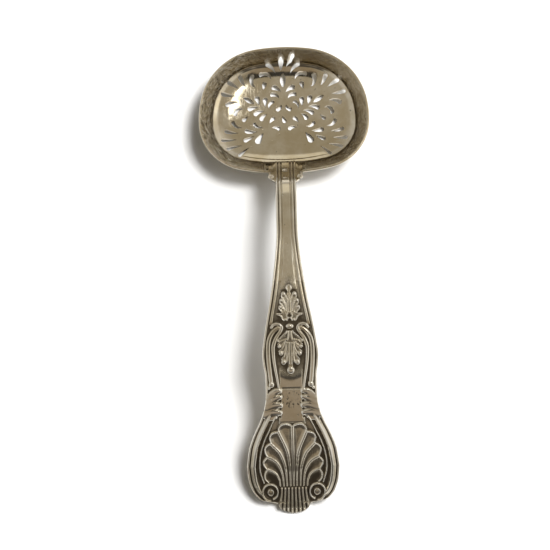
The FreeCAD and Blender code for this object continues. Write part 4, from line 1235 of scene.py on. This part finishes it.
def tube_points(path, radii, sides=14):
    """Rings of points round a path."""
    lean = np.gradient(path, axis=0)
    lean /= np.linalg.norm(lean, axis=1)[:, None]
    reference = np.cross(path[1] - path[0], path[-1] - path[len(path) // 2])
    side = np.cross(lean, reference)
    side /= np.linalg.norm(side, axis=1)[:, None]
    up = np.cross(side, lean)
    turn = np.linspace(0, 2 * math.pi, sides, endpoint=False)[:, None]
    ways = np.cos(turn) * side[:, None] + np.sin(turn) * up[:, None]
    return path[:, None] + radii[:, None, None] * ways


def curl_object(name, node, hand):
    """A wire that comes down the joint's edge and curls in on itself."""
    low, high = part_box(node)
    centre = np.array((low + high) / 2) / MM + (-1.0 * hand, 1.0, 0.55)
    radius = (high.x - low.x) / MM / 2
    tilt = math.radians(37)
    forward = np.array([0, math.cos(tilt), -math.sin(tilt)])
    rise = np.array([0, math.sin(tilt), math.cos(tilt)])
    turn = np.linspace(0, 1, 44)[:, None]
    angle, swing = np.radians(60 - 470 * turn), radius * (0.80 - 0.50 * turn)
    curl = centre + swing * np.cos(angle) * (hand, 0, 0) + forward * swing * np.sin(angle)
    curl += rise * 0.25 * turn
    before = np.linspace(1, 0, 7)[:-1, None]
    lead = curl[0] + (forward * 1.5 - rise * 0.1) * before
    radii = radius * (0.30 - 0.08 * np.concatenate([before * 0, turn])[:, 0])
    return tube_object(name, tube_points(np.vstack([lead, curl]), radii))


class SIFTER_OT_joint(bpy.types.Operator):
    """Makes the heel, the solder seam and the scrolls at the joint"""

    bl_idname = "sifter.joint"
    bl_label = "Joint pieces"

    def execute(self, context):
        finish = context.scene.sifter_finish
        plain = silver("joint_silver", finish, finish.bright, 0.7, 0.2)
        solder = silver("solder_dull", finish, finish.solder, 0.4, 0.34)
        for node, name, material, slot in (
            ("joint_drop", "joint_heel", plain, "handle_silver"),
            ("solder_seam", "joint_solder", solder, "solder"),
        ):
            item = smooth_copy(node, name)
            places = np.array([vertex.co for vertex in item.data.vertices]) / MM
            item.data.vertices.foreach_set("co", (settled(places) * MM).reshape(-1))
            item.data.update()
            dress(item, material, slot, node)
        for side, hand in (("left", -1), ("right", 1)):
            node = "shoulder_scroll_" + side
            dress(curl_object("scroll_curl_" + side, node, hand), plain, "handle_silver", node)
        return {"FINISHED"}


# Stage

# Where the two windows lie as the silver sees them
WINDOWS = ((0.29, 0.20, 0.94), (0.26, 0.08, 0.96))
# How much of the room's light is kept from plain surfaces, whose light comes from the lamps
ROOM_DIMMED = 0.80
# The picture's side, the spoon's scale in it and where the place that is aimed at lies, in pixels
PICTURE = 550.0
PIXELS_PER_MM = 3.09
MIDDLE_X, MIDDLE_Y = 288.0, 265.5
SENSOR = 36.0
FLOOR_HALF = 1500


def soft_room(stage):
    """A room as the silver sees it: two windows in a dim ceiling, pale walls, and somebody near by."""
    world = bpy.data.worlds.new("soft_room")
    world.use_nodes = True
    shade = Shader(world.node_tree)
    toward = shade.add("ShaderNodeTexCoord").outputs["Object"]
    walls = np.array(stage.walls)
    tone = walls * 0.60
    # Each look: its direction, the angles from it where it starts and is full, and its colour
    for direction, wide, narrow, there in (
        ((1, 0, 0.35), 78, 38, walls * 1.05),
        ((1, 0.1, 0.62), 15, 8, (1.5, 1.46, 1.36)),
        ((-1, 0, 0.35), 60, 30, walls * 0.75),
        ((0, 0, 1), 50, 34, stage.ceiling),
        ((0, 1, 1), 30, 18, (0.46, 0.42, 0.34)),
        ((0, 1, 0.31), 13, 6, (0.95, 0.90, 0.78)),
        ((0, -0.50, 0.87), 24, 14, (0.39, 0.33, 0.26)),
        *(((side, -1, 0.62), 20, 12, (0.10, 0.09, 0.08)) for side in (-0.55, 0, 0.55)),
        *(((side, -0.205, 0.97), 7.0, 4.0, (0.06, 0.057, 0.054)) for side in (-0.14, 0.02, 0.18)),
        *((place, 5.6, 4.2, (4.2, 4.15, 4.0)) for place in WINDOWS),
    ):
        near = shade.dot(toward, Vector(direction).normalized())
        share = shade.spread(near, math.cos(math.radians(wide)), math.cos(math.radians(narrow)))
        tone = shade.mix(share, tone, there)
    diffuse = shade.add("ShaderNodeLightPath").outputs["Is Diffuse Ray"]
    background = world.node_tree.nodes["Background"].inputs
    shade.put(background["Strength"], shade.math("SUBTRACT", 1.0, shade.times(diffuse, ROOM_DIMMED)))
    shade.put(background["Color"], tone)
    return world


class SIFTER_OT_stage(bpy.types.Operator):
    """Sets the floor, the lights and the camera"""

    bl_idname = "sifter.stage"
    bl_label = "Stage"

    def execute(self, context):
        scene, stage = context.scene, context.scene.sifter_stage
        aim = Vector((0, -50, 12)) * MM
        away, raised, turned = stage.away, stage.raised, stage.turned

        corners = [(x * FLOOR_HALF, y * FLOOR_HALF, 0) for x, y in ((-1, -1), (1, -1), (1, 1), (-1, 1))]
        floor = mesh_object("floor", corners, [(0, 1, 2, 3)])
        material, shade, surface = new_material("floor_pale")
        duller = tuple(value * 0.985 for value in stage.floor)
        shade.put(surface["Base Color"], shade.mix(shade.noise(0.05, 2.0), duller, stage.floor))
        shade.put(surface["Roughness"], 0.9)
        floor.data.materials.append(material)

        scene.world = soft_room(stage)

        for name, place, size, power in (
            ("window_light", (0.33, 0.16, 0.87), 0.27, 8.8),
            ("wide_light", (0.46, 0.14, 0.80), 0.80, 5.6),
        ):
            light = bpy.data.lights.new(name, "AREA")
            light.size = size
            light.energy = power
            light.color = (1.0, 0.995, 0.985)
            lamp = bpy.data.objects.new(name, light)
            lamp.location = aim + Vector(place)
            lamp.rotation_euler = (-Vector(place)).to_track_quat("-Z", "Y").to_euler()
            lamp.visible_glossy = False
            scene.collection.objects.link(lamp)

        camera = bpy.data.objects.new("camera", bpy.data.cameras.new("camera"))
        back = Vector((0, -math.cos(raised), math.sin(raised)))
        right = Vector((1, 0, 0))
        turn = Matrix.Rotation(turned, 3, back)
        axes = Matrix((turn @ right, turn @ back.cross(right), back)).transposed()
        camera.matrix_world = Matrix.Translation(aim + back * away) @ axes.to_4x4()
        camera.data.sensor_width = SENSOR
        camera.data.lens = SENSOR * PIXELS_PER_MM * (away / MM) / PICTURE
        camera.data.shift_x = (PICTURE / 2 - MIDDLE_X) / PICTURE
        camera.data.shift_y = (MIDDLE_Y - PICTURE / 2) / PICTURE
        camera.data.clip_start, camera.data.clip_end = 0.01, 10.0
        scene.collection.objects.link(camera)
        scene.camera = camera
        scene.view_settings.view_transform = "Standard"
        return {"FINISHED"}


class SIFTER_PT_panel(bpy.types.Panel):
    bl_label = "Sugar sifter spoon"
    bl_idname = "SIFTER_PT_panel"
    bl_space_type = "VIEW_3D"
    bl_region_type = "UI"
    bl_category = "Sifter"

    def draw(self, context):
        for title, group, operator in (
            ("Bowl", "sifter_bowl", "sifter.bowl"),
            ("Handle", "sifter_handle", "sifter.handle"),
            ("Finish", "sifter_finish", "sifter.joint"),
            ("Stage", "sifter_stage", "sifter.stage"),
        ):
            box = self.layout.box()
            box.label(text=title)
            settings = getattr(context.scene, group)
            for name in settings.bl_rna.properties.keys():
                if name not in ("rna_type", "name"):
                    box.prop(settings, name)
            box.operator(operator)


CLASSES = (
    BowlSettings, HandleSettings, FinishSettings, StageSettings,
    SIFTER_OT_bowl, SIFTER_OT_handle, SIFTER_OT_joint, SIFTER_OT_stage, SIFTER_PT_panel,
)
GROUPS = {
    "sifter_bowl": BowlSettings,
    "sifter_handle": HandleSettings,
    "sifter_finish": FinishSettings,
    "sifter_stage": StageSettings,
}


def register():
    for item in CLASSES:
        bpy.utils.register_class(item)
    for name, group in GROUPS.items():
        setattr(bpy.types.Scene, name, PointerProperty(type=group))


def unregister():
    for name in GROUPS:
        delattr(bpy.types.Scene, name)
    for item in reversed(CLASSES):
        bpy.utils.unregister_class(item)


def main():
    register()
    for step in (bpy.ops.sifter.bowl, bpy.ops.sifter.handle, bpy.ops.sifter.joint, bpy.ops.sifter.stage):
        step()


if __name__ == "__main__":
    main()
